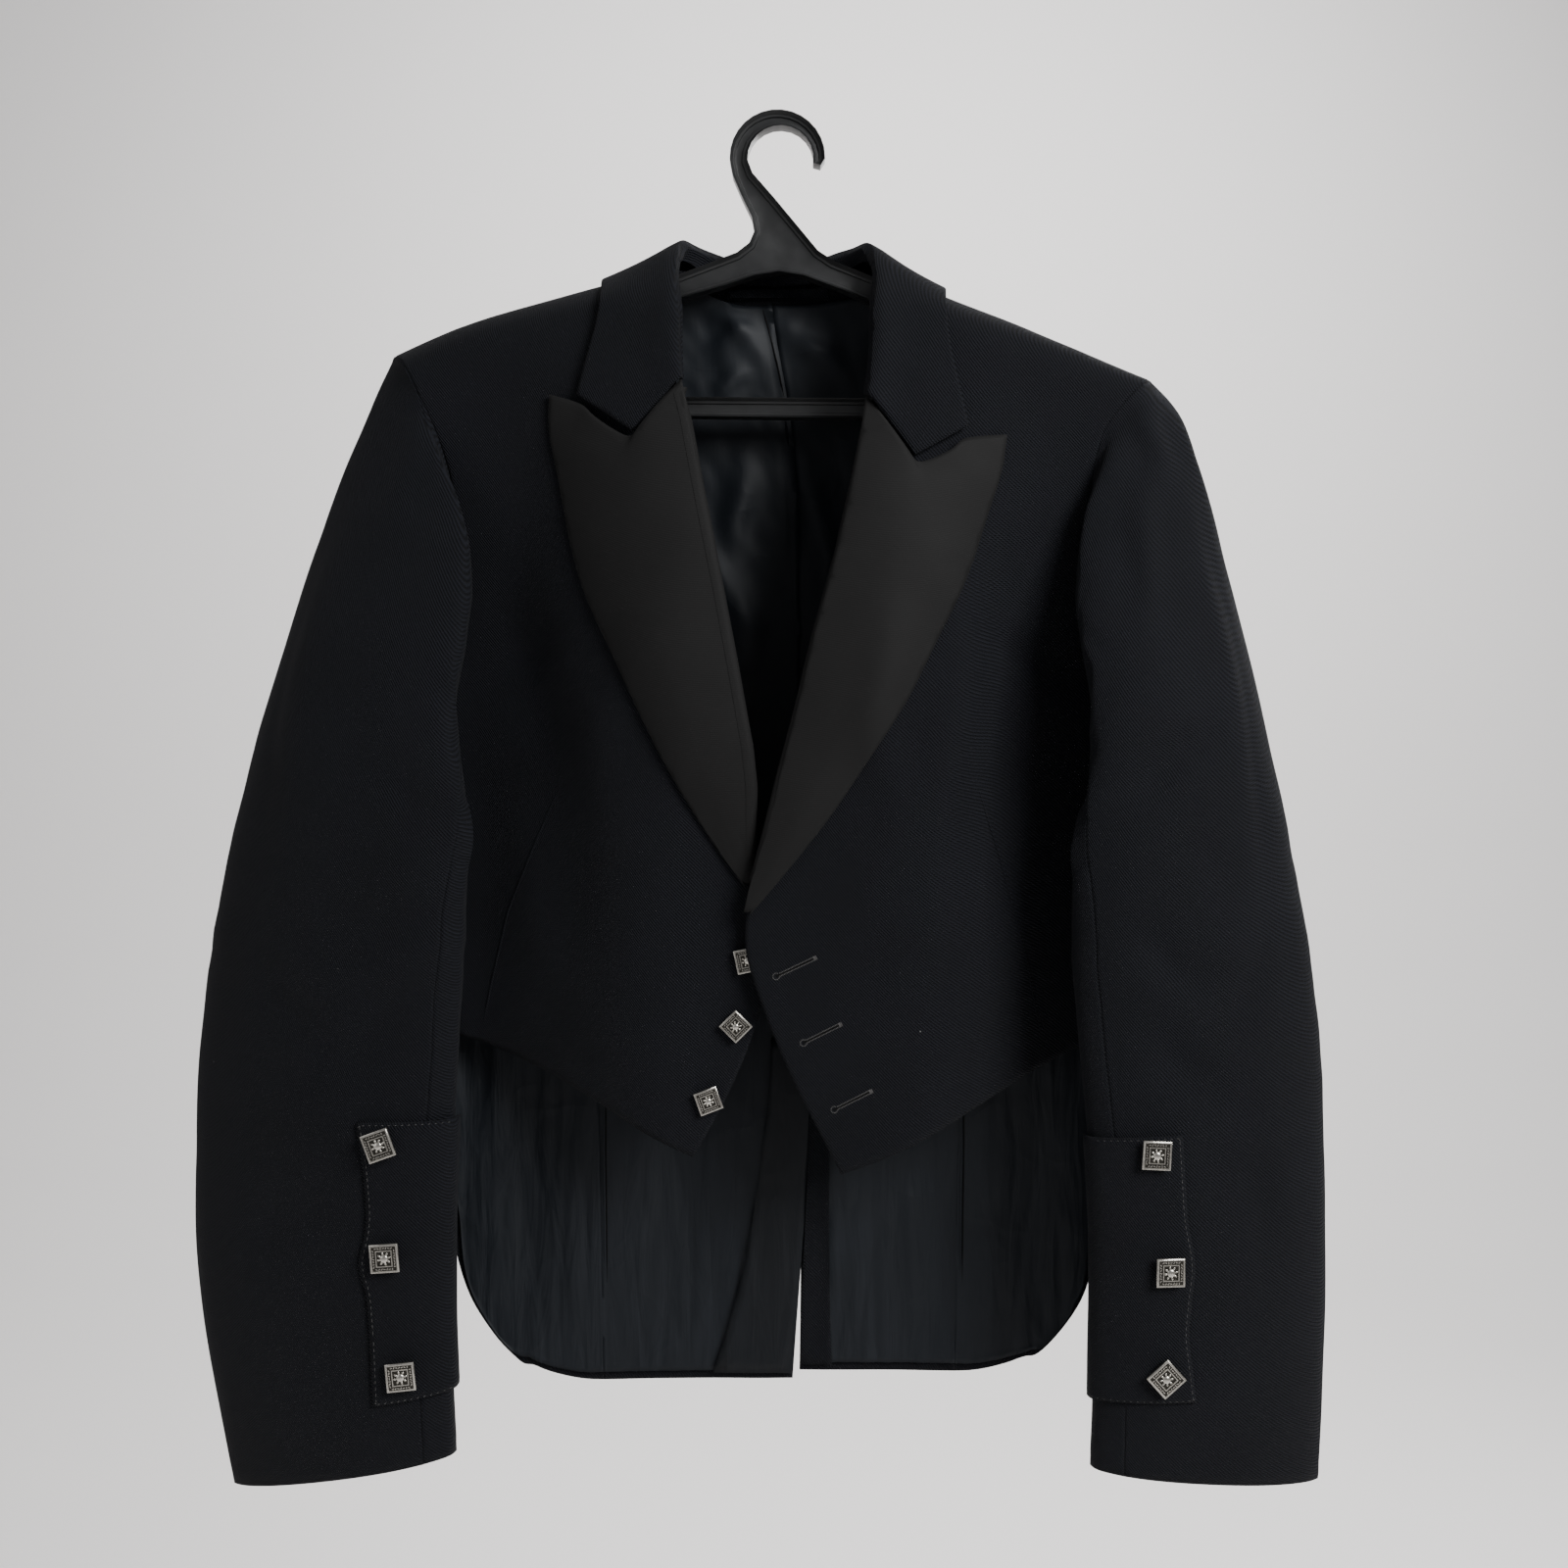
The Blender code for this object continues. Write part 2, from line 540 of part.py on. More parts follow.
def fold_depth(x, z, folds):
    """The height that all the folds together add at a point of a panel."""
    total = 0.0
    for fold in folds:
        along = Vector((fold.x1 - fold.x0, fold.z1 - fold.z0))
        to_point = Vector((x - fold.x0, z - fold.z0))
        t = to_point.dot(along) / along.length_squared
        if 0.0 < t < 1.0:
            across = (to_point - along * t).length / fold.width
            total += fold.depth * (1.0 - (2.0 * t - 1.0) ** 2) * math.exp(-across * across)
    return total


def shoulder_z(x):
    return between(SHOULDER_LINE, x, "z")


def over_shoulder(x, height, turn):
    """How far a point has turned over the shoulder line, 0 on it and 1 below it, and its height."""
    down = shoulder_z(x) + turn.arc - turn.drop - height
    if down >= turn.arc:
        return 1.0, height
    angle = down / turn.arc * math.pi / 2
    return math.sin(angle), shoulder_z(x) - turn.drop * (1 - math.cos(angle))


def pattern_z(x, z, turn):
    """The height in the pattern of a point at height z, past its turn over the shoulder line."""
    drop = shoulder_z(x) - z
    if drop >= turn.drop:
        return z
    angle = math.acos(1 - max(0.0, drop) / turn.drop)
    return shoulder_z(x) + turn.arc - turn.drop - angle * turn.arc * 2 / math.pi


def front_sheet(side, x, height):
    """A point of a front's outer face, from its place in the pattern."""
    turned, z = over_shoulder(x, height, FRONT_TURN)
    chest = between(BODY, z, "chest")
    side_front = between(BODY, z, "side_front")
    y = mix(chest, side_front, ramp(abs(x), FRONT_FLAT, side_start(z)))
    y -= fold_depth(x, z, FRONT_FOLDS)
    if side == "right":
        y += UNDERLAP * ramp(x, -0.085, -0.030) * ramp(-z, 0.350, 0.430)
    return Vector((x, y * turned, z))


def back_sheet(x, height):
    """A point of the back's outer face, from its place in the pattern."""
    turned, z = over_shoulder(x, height, BACK_TURN)
    y = mix(between(BODY, z, "back"), between(BODY, z, "side_back"), ramp(abs(x), BACK_FLAT, side_start(z)))
    y += fold_depth(x, z, BACK_FOLDS)
    return Vector((x, y * turned, z))


def side_start(z):
    """How far out the front and back sheets begin to turn into the side."""
    return between(BODY, z, "half_width") - between(BODY, z, "side_radius")


def side_arc(z):
    """Length of the turn from the front sheet to the back sheet."""
    depth = between(BODY, z, "side_back") - between(BODY, z, "side_front")
    return math.pi * (between(BODY, z, "side_radius") + depth / 2) / 2


def side_sheet(side, way_round, z):
    """A point of the side's outer face; way_round is measured from the front's side seam."""
    sign = SIDES[side]
    start = side_start(z)
    arc = side_arc(z)
    if way_round < 0:
        return front_sheet(side, sign * (start + way_round), z)
    if way_round > arc:
        return back_sheet(sign * (start - way_round + arc), z)
    angle = math.pi * way_round / arc
    front = front_sheet(side, sign * start, z).y
    back = back_sheet(sign * start, z).y
    x = start + between(BODY, z, "side_radius") * math.sin(angle)
    return Vector((sign * x, mix(front, back, (1 - math.cos(angle)) / 2), z))


def coons(u, v, edges):
    """A point between four edges, each a function of 0 to 1: left, right, top and bottom."""
    left, right, top, bottom = edges
    corners = mix(mix(left(0.0), right(0.0), u), mix(left(1.0), right(1.0), u), v)
    return mix(left(v), right(v), u) + mix(top(u), bottom(u), v) - corners


def down_edge(x_of, rows, heights, crowd=1.0):
    """An edge that runs down through three heights, with its rows shared between the two stretches."""
    break_at = rows[0] / sum(rows)

    def place(v):
        if v < break_at:
            z = mix(heights[0], heights[1], (v / break_at) ** crowd)
        else:
            z = mix(heights[1], heights[2], (v - break_at) / (1 - break_at))
        return Vector((x_of(z), z))

    return place


def cross_edge(z_of, start, end):
    """An edge that runs across from one x to another."""
    return lambda u: Vector((mix(start, end, u), z_of(mix(start, end, u))))


def sheet_face(sheet, place, outwards):
    """The sheet's point at a place and its normal, turned to the side that outwards names."""
    step = 0.0004
    here = sheet(*place)
    along = sheet(place[0] + step, place[1]) - sheet(place[0] - step, place[1])
    down = sheet(place[0], place[1] - step) - sheet(place[0], place[1] + step)
    return here, along.cross(down).normalized() * outwards


def front_edges(side):
    """The four edges of a front in its pattern: centre, side, shoulder and hem."""
    sign = SIDES[side]
    stretch = FRONT_TURN.arc - FRONT_TURN.drop
    neck, tip = NECK_X[side], SHOULDER_TIP_X[side]
    neck_z, tip_z = shoulder_z(neck) + stretch, shoulder_z(tip) + stretch
    hem = FRONT_HEM[side]

    def centre_x(z):
        visible = between(CENTRE_EDGE[side], z, "x") + sign * ROLL_TURN * ramp(z, -0.47, -0.44)
        return mix(visible, neck, ramp(z, -0.095, neck_z))

    def side_x(z):
        if z <= ARMPIT_Z:
            return sign * side_start(z)
        return mix(between(FRONT_ARMHOLE[side], z, "x"), tip, ramp(z, tip_z - 0.012, tip_z))

    return (
        down_edge(centre_x, FRONT_ROWS, (neck_z, ARMPIT_Z, hem[0].z), SHOULDER_CROWD),
        down_edge(side_x, FRONT_ROWS, (tip_z, ARMPIT_Z, hem[-1].z), SHOULDER_CROWD),
        cross_edge(lambda x: shoulder_z(x) + stretch, neck, tip),
        cross_edge(lambda x: between(hem, x, "z"), hem[0].x, side_x(hem[-1].z)),
    )


def centre_back_x(side, z):
    return between(CENTRE_BACK + VENT_EDGE[side], z, "x")


def back_top_z(x):
    """The back's neckline, and past the neck its shoulder seam."""
    stretch = BACK_TURN.arc - BACK_TURN.drop
    past_neck = ramp(abs(x), 0.048, 0.066)
    return mix(between(BACK_NECK, abs(x), "z"), shoulder_z(x) + stretch, past_neck)


def back_edges(side):
    """The four edges of a back panel: centre seam, armhole and side seam, top and hem."""
    sign = SIDES[side]
    tip = SHOULDER_TIP_X[side]
    tip_z = back_top_z(tip)
    centre = centre_back_x(side, BACK_NECK[0].z)
    hem_z = TAIL_HEM_Z[side]

    def side_x(z):
        return mix(sign * between(BACK_SIDE, z, "x"), tip, ramp(z, -0.190, tip_z))

    return (
        down_edge(
            lambda z: centre_back_x(side, z), BACK_ROWS,
            (back_top_z(centre), BACK_SEAM_TOP_Z, hem_z), SHOULDER_CROWD,
        ),
        down_edge(side_x, BACK_ROWS, (tip_z, BACK_SEAM_TOP_Z, hem_z), SHOULDER_CROWD),
        cross_edge(back_top_z, centre, tip),
        cross_edge(lambda x: hem_z, centre_back_x(side, hem_z), side_x(hem_z)),
    )


def round_from_x(x, z):
    """Where a point of the back sheet lies on the way round the side."""
    return side_arc(z) + side_start(z) - abs(x)


def side_edges(side):
    """The four edges of a side body: front seam and tail edge, back seam, armhole and hem."""
    front_hem_z = FRONT_HEM[side][-1].z
    corner = TAIL_CORNER[side]
    foot = corner[-1]
    hem_z = TAIL_HEM_Z[side]

    def front_round(z):
        if z > front_hem_z:
            return 0.0
        if z < corner[0].z:
            return round_from_x(between(corner, z, "x"), z)
        return ramp(z, front_hem_z - 0.005, corner[0].z) * round_from_x(corner[0].x, corner[0].z)

    def back_round(z):
        return round_from_x(between(BACK_SIDE, z, "x"), z)

    top_round, foot_round, hem_round = back_round(BACK_SEAM_TOP_Z), front_round(foot.z), back_round(hem_z)
    return (
        down_edge(front_round, SIDE_ROWS, (ARMPIT_Z, front_hem_z, foot.z)),
        down_edge(back_round, (1, 1), (BACK_SEAM_TOP_Z, (BACK_SEAM_TOP_Z + hem_z) / 2, hem_z)),
        lambda u: Vector((mix(0.0, top_round, u), between(SIDE_ARMHOLE, u, "z"))),
        lambda u: Vector((mix(foot_round, hem_round, u), mix(foot.z, hem_z, math.sin(u * math.pi / 2)))),
    )


def wall(name, material, across, down, face, thickness):
    """A closed cloth wall: a grid laid on a sheet's face, and drawn in by its thickness."""
    bm = bmesh.new()
    bmesh.ops.create_grid(bm, x_segments=across, y_segments=down, size=0.5)
    made = bmesh.ops.extrude_face_region(bm, geom=bm.faces[:], use_keep_orig=True)
    for item in made["geom"]:
        if isinstance(item, bmesh.types.BMVert):
            item.co.z = 1.0
    for vert in bm.verts:
        here, normal = face(vert.co.x + 0.5, 0.5 - vert.co.y)
        vert.co = here - normal * (thickness * vert.co.z)
    bmesh.ops.recalc_face_normals(bm, faces=bm.faces)
    bmesh.ops.triangulate(bm, faces=bm.faces, quad_method="SHORT_EDGE")
    return finish(name, material, bm)


def finish(name, material, bm, angle=40):
    """Turn a bmesh into a named object in the jacket's collection."""
    mesh = bpy.data.meshes.new(name)
    bm.to_mesh(mesh)
    bm.free()
    mesh.shade_smooth()
    mesh.set_sharp_from_angle(angle=math.radians(angle))
    mesh.materials.append(material)
    piece = bpy.data.objects.new(name, mesh)
    collection.objects.link(piece)
    return piece


def inset(value, size):
    """Keep a grid's 0 to 1 clear of both seams by half a gap."""
    edge = SEAM_GAP / 2 / size
    return mix(edge, 1 - edge, value)


def panel_face(sheet, edges, outwards, lift=0.0, size=(0.12, 0.5)):
    """The face of a panel between four edges; lift moves it out, and may be a function of u and v."""

    def face(u, v):
        place = coons(inset(u, size[0]), inset(v, size[1]), edges)
        here, normal = sheet_face(sheet, place, outwards)
        return here + normal * (lift(u, v) if callable(lift) else lift), normal

    return face


def front_panel_face(side, edges, lift=0.0, size=(0.12, 0.5)):
    return panel_face(lambda x, z: front_sheet(side, x, z), edges, -1, lift, size)


def back_panel_face(edges, lift=0.0, size=(0.15, 0.6)):
    return panel_face(back_sheet, edges, 1, lift, size)


def side_panel_face(side, edges, lift=0.0, size=(0.08, 0.4)):
    return panel_face(lambda w, z: side_sheet(side, w, z), edges, -SIDES[side], lift, size)


def make_body(side, wool):
    """A front, a back and a side body, whose rows meet at their seams."""
    wall(f"front_{side}", wool, 12, sum(FRONT_ROWS), front_panel_face(side, front_edges(side)), WOOL)
    wall(f"back_{side}", wool, BACK_COLUMNS, sum(BACK_ROWS), back_panel_face(back_edges(side)), WOOL)
    wall(f"side_{side}", wool, SIDE_COLUMNS, sum(SIDE_ROWS), side_panel_face(side, side_edges(side)), WOOL)


def armhole_loop(side):
    """The armhole's points and normals: down the front from the shoulder, under the arm, up the back."""
    front, back, under = front_edges(side), back_edges(side), side_edges(side)
    loop = []
    for row in range(FRONT_ROWS[0]):
        place = front[1](row / sum(FRONT_ROWS))
        loop.append(sheet_face(lambda x, z: front_sheet(side, x, z), place, -1))
    for column in range(SIDE_COLUMNS):
        place = under[2](column / SIDE_COLUMNS)
        loop.append(sheet_face(lambda w, z: side_sheet(side, w, z), place, -SIDES[side]))
    for row in range(BACK_ROWS[0], 0, -1):
        place = back[1](row / sum(BACK_ROWS))
        loop.append(sheet_face(back_sheet, place, 1))
    return loop


def ring_point(side, down, angle):
    """A point of the sleeve's own form, angle in degrees from its outer edge over the front."""
    rows = SLEEVE[side]
    keys = [i / (len(rows) - 1) for i in range(len(rows))]
    ring = Ring(*(curve(keys, [row[i] for row in rows], down) for i in range(len(Ring._fields))))
    sign = SIDES[side]
    turn = math.radians(angle)
    s = (1 - math.cos(turn)) / 2
    over = math.sin(turn)
    front = over > 0
    x = mix(ring.outer_x, ring.inner_x, s)
    z = mix(ring.outer_z, ring.inner_z, s)
    along = Vector((ring.inner_x - ring.outer_x, ring.inner_z - ring.outer_z)).normalized()
    pull = (ring.saddle_front if front else ring.saddle_back) * over * over
    x, z = x + along.y * pull, z - along.x * pull
    y = mix(ring.outer_y, ring.inner_y, s) - over * (ring.front if front else ring.back)
    if front:
        x -= LAP_SWELL * ring.lap * over**0.35 * s**5
    return Vector((sign * x, y, z)), ring.join


def sleeve_sheet(side, loop, column, down):
    """A point of the sleeve; column counts the armhole's points from the shoulder down the front."""
    keys = [row.down for row in SLEEVE_SEAMS]
    hindarm = curve(keys, [row.hindarm for row in SLEEVE_SEAMS], down)
    forearm = curve(keys, [row.forearm for row in SLEEVE_SEAMS], down)
    around = len(loop)
    if column < FOREARM_COLUMN:
        angle = mix(hindarm, forearm, (column - HINDARM_COLUMN) / (FOREARM_COLUMN - HINDARM_COLUMN))
    else:
        rest = around + HINDARM_COLUMN - FOREARM_COLUMN
        angle = mix(forearm, hindarm + 360, (column - FOREARM_COLUMN) / rest)
    own, join = ring_point(side, down, angle)
    first = math.floor(column)
    a, b = loop[first % around], loop[(first + 1) % around]
    t = column - first
    return mix(mix(a[0], b[0], t), own, join), mix(a[1], b[1], t), join


def sleeve_face(side, loop, start, end):
    """The face of one piece of a sleeve, from one column to another."""

    def face(u, v):
        column = mix(start, end, inset(u, 0.15))
        down = inset(v, 0.6)
        step = 0.01
        here, seam_normal, join = sleeve_sheet(side, loop, column, down)
        before = sleeve_sheet(side, loop, column - step, down)[0]
        after = sleeve_sheet(side, loop, column + step, down)[0]
        above = sleeve_sheet(side, loop, column, max(0.0, down - step))[0]
        below = sleeve_sheet(side, loop, column, min(1.0, down + step))[0]
        normal = (after - before).cross(above - below).normalized() * -SIDES[side]
        return here, mix(seam_normal, normal, join).normalized()

    return face


def make_sleeve(side, wool):
    """A topsleeve and an undersleeve, which start on the armhole's own points."""
    loop = armhole_loop(side)
    end = HINDARM_COLUMN + len(loop)
    top = sleeve_face(side, loop, HINDARM_COLUMN, FOREARM_COLUMN)
    under = sleeve_face(side, loop, FOREARM_COLUMN, end)
    wall(f"topsleeve_{side}", wool, FOREARM_COLUMN - HINDARM_COLUMN, len(SLEEVE[side]), top, WOOL)
    wall(f"undersleeve_{side}", wool, end - FOREARM_COLUMN, len(SLEEVE[side]), under, WOOL)


def ring_place(side, x, z):
    """How far down a sleeve and at what angle of its front a point seen from the front lies."""
    angle = 120.0
    for _ in range(6):
        high, low = 0.0, 1.0
        for _ in range(20):
            down = (high + low) / 2
            if ring_point(side, down, angle)[0].z > z:
                high = down
            else:
                low = down
        outer = abs(ring_point(side, down, 0.0)[0].x)
        inner = abs(ring_point(side, down, 180.0)[0].x)
        angle = math.degrees(math.acos(1 - 2 * (outer - abs(x)) / (outer - inner)))
    return down, angle


def ring_face(side, down, angle, lift):
    """A point of the sleeve's front moved out by lift, and its normal."""
    step = 0.01
    along = ring_point(side, down, angle + 1)[0] - ring_point(side, down, angle - 1)[0]
    up = ring_point(side, down - step, angle)[0] - ring_point(side, min(1.0, down + step), angle)[0]
    normal = along.cross(up).normalized() * -SIDES[side]
    return ring_point(side, down, angle)[0] + normal * lift, normal


def make_flap(side, wool):
    """A cuff flap lying on the sleeve, from its scalloped edge round the sleeve's inner edge."""
    top_edge, top_inner = FLAP_TOP_Z[side]
    foot_edge, foot_inner = FLAP_FOOT_Z[side]
    inner_x = abs(ring_point(side, 0.8, 180.0)[0].x) + 0.001

    def face(u, v):
        z = mix(top_edge, foot_edge, v)
        down_edge_at, angle = ring_place(side, between(FLAP_EDGE[side], z, "x"), z)
        down_inner, _ = ring_place(side, inner_x, mix(top_inner, foot_inner, v))
        around = mix(angle, FLAP_WRAP, u)
        lift = LAYER_GAP + FLAP_THICK + FLAP_SLACK * ramp(around, 140, 175)
        return ring_face(side, mix(down_edge_at, down_inner, u), around, lift)

    wall(f"cuff_flap_{side}", wool, 7, 12, face, FLAP_THICK)


def lapel_edges(side):
    """A lapel's four edges in the front's pattern: roll line, outer edge, gorge with peak, and foot."""
    top, edge = LAPEL_TOP[side], LAPEL_EDGE[side]

    def roll_x(z):
        return between(CENTRE_EDGE[side], z, "x")

    foot_z = edge[-1].z
    xs = [row.x for row in top]
    places = [0.0, 0.22, 0.42, 0.78, 1.0]
    return (
        lambda v: Vector((roll_x(mix(top[0].z, foot_z, v)), mix(top[0].z, foot_z, v))),
        lambda v: Vector((between(edge, mix(edge[0].z, foot_z, v), "x"), mix(edge[0].z, foot_z, v))),
        lambda u: Vector((straight(places, xs, u), straight(places, [row.z for row in top], u))),
        lambda u: Vector((mix(roll_x(foot_z), edge[-1].x, u), foot_z)),
    )


def make_lapel(side, satin):
    """A lapel rolled back on its front, with a soft belly between the roll and the outer edge."""
    edges = lapel_edges(side)

    def lift(u, v):
        belly = LAPEL_BELLY * math.sin(math.pi * min(1.0, 0.12 + 0.88 * u)) ** 0.8
        return 2 * LAYER_GAP + LAPEL_THICK + belly * ramp(v, 1.0, 0.75)

    wall(f"lapel_{side}", satin, 6, 14, front_panel_face(side, edges, lift, (0.06, 0.28)), LAPEL_THICK)


def collar_sheet(t, q):
    """A point of the collar; t runs over the stations, q from the stand's foot to the fall's edge."""
    keys = list(range(len(COLLAR)))

    def point(column):
        return Vector(curve(keys, [getattr(row, column)[i] for row in COLLAR], t) for i in range(3))

    roll = point("roll")
    facing = math.radians(curve(keys, [row.facing for row in COLLAR], t))
    across = Vector((-math.sin(facing), -math.cos(facing), 0.0))
    reach = abs(q)
    swell = COLLAR_TURN * min(1.0, reach / 0.12) ** 0.6 * (1 - reach)
    if q < 0:
        return mix(roll, point("seam"), reach) - across * swell
    dip = curve(keys, [row.dip for row in COLLAR], t)
    notch = reach / COLLAR_NOTCH_AT if reach < COLLAR_NOTCH_AT else (1 - reach) / (1 - COLLAR_NOTCH_AT)
    here = mix(roll, point("edge"), reach) + across * swell - Vector((0.0, 0.0, dip * notch))
    if here.z < shoulder_z(here.x):
        side = "left" if here.x > 0 else "right"
        if across.y < 0:
            front = front_sheet(side, here.x, pattern_z(here.x, here.z, FRONT_TURN)).y
            here.y = min(here.y, front - WOOL - COLLAR_CLEAR)
        else:
            back = back_sheet(here.x, pattern_z(here.x, here.z, BACK_TURN)).y
            here.y = max(here.y, back + WOOL + COLLAR_CLEAR)
    return here


def make_collar(wool):
    """The collar: one folded wall, from the stand over the roll to the fall's outer edge."""
    stations = len(COLLAR) - 1
    rows = len(COLLAR_PROFILE) - 1

    def face(u, v):
        t, q = u * stations, straight([i / rows for i in range(rows + 1)], COLLAR_PROFILE, v)
        step = 0.02
        here = collar_sheet(t, q)
        along = collar_sheet(min(stations, t + step), q) - collar_sheet(max(0.0, t - step), q)
        out = collar_sheet(t, min(1.0, q + step)) - collar_sheet(t, max(-1.0, q - step))
        return here, out.cross(along).normalized()

    wall("collar", wool, 26, rows, face, WOOL)


def vent_edges(side):
    """The cloth that faces the vent's edge on the inside of a tail."""
    top_z, hem_z = VENT_FACING[side][0].z, TAIL_HEM_Z[side] + VENT_INSET

    def facing_x(z):
        return between(VENT_FACING[side], z, "x")

    def vent_x(z):
        return centre_back_x(side, z)

    return (
        lambda v: Vector((vent_x(mix(top_z, hem_z, v)), mix(top_z, hem_z, v))),
        lambda v: Vector((facing_x(mix(top_z, hem_z, v)), mix(top_z, hem_z, v))),
        cross_edge(lambda x: top_z, vent_x(top_z), facing_x(top_z)),
        cross_edge(lambda x: hem_z, vent_x(hem_z), facing_x(hem_z)),
    )


def lining_face(face, columns, rows, first_row, edge_trim):
    """A lining's face on its panel's own rows and columns, drawn in from its edge and its hem."""

    def drawn_in(near, far, share):
        return mix(near[0], far[0], share), mix(near[1], far[1], share)

    def inner(u, v):
        column, row = round(u * columns), round(mix(first_row, rows, v))

        def on_row(at):
            here = face(at / columns, row / rows)
            if row < rows:
                return here
            return drawn_in(here, face(at / columns, (rows - 1) / rows), LINING_HEM_TRIM)

        return drawn_in(on_row(0), on_row(1), edge_trim) if column == 0 else on_row(column)

    return inner


def make_lining(side, lining, wool):
    """The lining that shows behind the open neck and on the tails, and the vent's facing."""
    under = -(WOOL + LAYER_GAP)
    rows, first = sum(BACK_ROWS), LINING_BACK_ROW
    back = lining_face(back_panel_face(back_edges(side), under), BACK_COLUMNS, rows, first, 0.0)
    wall(f"lining_back_{side}", lining, BACK_COLUMNS, rows - first, back, LINING)
    rows, first = sum(SIDE_ROWS), LINING_SIDE_ROW
    panel = side_panel_face(side, side_edges(side), under)
    body = lining_face(panel, SIDE_COLUMNS, rows, first, LINING_EDGE_TRIM)
    wall(f"lining_side_{side}", lining, SIDE_COLUMNS, rows - first, body, LINING)
    over_lining = -(WOOL + LINING + 3 * LAYER_GAP)
    vent = back_panel_face(vent_edges(side), over_lining, (0.03, 0.14))
    wall(f"vent_facing_{side}", wool, 2, 6, vent, FACING)


def make_neck(wool):
    """The facing strip inside the back of the neck, and the loop sewn on it."""
    strips = (("neck_facing", NECK_FACING, FACING), ("hanging_loop", HANGING_LOOP, LOOP_THICK))
    for name, strip, thickness in strips:
        edges = (
            lambda v, s=strip: Vector((s.x0, mix(s.top, s.foot, v))),
            lambda v, s=strip: Vector((s.x1, mix(s.top, s.foot, v))),
            lambda u, s=strip: Vector((mix(s.x0, s.x1, u), s.top)),
            lambda u, s=strip: Vector((mix(s.x0, s.x1, u), s.foot)),
        )
        wall(name, wool, 8, 2, back_panel_face(edges, -strip.under), thickness)


def hanger_arc(arc):
    for i in range(arc.steps + 1):
        turn = math.radians(mix(arc.start, arc.end, i / arc.steps))
        yield arc.x + arc.radius * math.cos(turn), arc.z + arc.radius * math.sin(turn)


def hanger_outline():
    """The hanger's outer outline, from the hook's tip over its top and round both arms."""

    def arm(side):
        return [(x, shoulder_z(x) - ARM_SEAT) for x in ARM_AT[side]]

    outline = list(hanger_arc(HOOK_OUTSIDE))[::-1]
    outline += NECK_OUTER + arm("right") + ARM_END["right"]
    outline += ARM_END["left"][::-1] + arm("left")[::-1] + NECK_INNER[::-1]
    outline += list(hanger_arc(HOOK_INSIDE))[::-1] + HOOK_TIP[::-1]
    return outline


def hanger_hole():
    """The opening between the arms and the crossbar."""

    def under_arm(side):
        return [(x, shoulder_z(x) - ARM_SEAT - ARM_DEPTH) for x in ARM_AT[side][:-1]]

    bar = [(ARM_END[side][-1].x * BAR_END, BAR_Z[side]) for side in ("right", "left")]
    ends = [
        (ARM_AT[side][-1] * HOLE_END, mix(under_arm(side)[-1][1], BAR_Z[side], HOLE_CORNER))
        for side in ("right", "left")
    ]
    return ARM_UNDER_NECK + under_arm("left") + [ends[1], bar[1], bar[0], ends[0]] + under_arm("right")[::-1]


def make_hanger(plastic):
    """A flat moulded hanger with a raised rim round a recessed web on both faces."""
    bm = bmesh.new()
    edges = []
    for outline in (hanger_outline(), hanger_hole()):
        verts = [bm.verts.new((x, -HANGER_THICK / 2, z)) for x, z in outline]
        edges += [bm.edges.new((a, b)) for a, b in zip(verts, verts[1:] + verts[:1])]
    bmesh.ops.triangle_fill(bm, edges=edges, use_beauty=True, use_dissolve=False)
    made = bmesh.ops.extrude_face_region(bm, geom=bm.faces[:], use_keep_orig=True)
    bmesh.ops.translate(
        bm, verts=[v for v in made["geom"] if isinstance(v, bmesh.types.BMVert)], vec=(0, HANGER_THICK, 0)
    )
    bmesh.ops.recalc_face_normals(bm, faces=bm.faces)
    caps = [face for face in bm.faces if abs(face.normal.y) > 0.9]
    for sign in (-1, 1):
        cap = [face for face in caps if face.normal.y * sign > 0]
        bmesh.ops.inset_region(
            bm, faces=cap, thickness=HANGER_RIM, depth=-HANGER_RECESS, use_even_offset=True, use_boundary=True
        )
    return finish("hanger", plastic, bm, 30)


def make_button(name, metal, place, normal, turn):
    """A square button with a raised border, a raised middle and a square shank behind."""
    bm = bmesh.new()
    size = Matrix.Diagonal((BUTTON_SIDE, BUTTON_SIDE, BUTTON_THICK, 1.0))
    bmesh.ops.create_cube(bm, size=1.0, matrix=size)
    top = [face for face in bm.faces if face.normal.z > 0.9]
    bottom = [face for face in bm.faces if face.normal.z < -0.9]
    for thickness, depth in ((0.0022, 0.0), (0.0004, -0.0006), (0.0022, 0.0), (0.0008, 0.0008)):
        bmesh.ops.inset_region(bm, faces=top, thickness=thickness, depth=depth, use_even_offset=True)
    bmesh.ops.inset_region(bm, faces=bottom, thickness=BUTTON_SIDE * 0.34, depth=0.0)
    bmesh.ops.inset_region(bm, faces=bottom, thickness=0.0, depth=BUTTON_SHANK, use_even_offset=True)
    bmesh.ops.recalc_face_normals(bm, faces=bm.faces)
    side = normal.cross(Vector((0, 0, 1))).normalized()
    frame = Matrix((side, normal.cross(side), normal)).transposed().to_4x4()
    seat = Matrix.Translation(place + normal * (BUTTON_SHANK + BUTTON_THICK / 2 + 1.5 * LAYER_GAP))
    bmesh.ops.transform(bm, verts=bm.verts, matrix=seat @ frame @ Matrix.Rotation(math.radians(turn), 4, "Z"))
    return finish(name, metal, bm, 20)


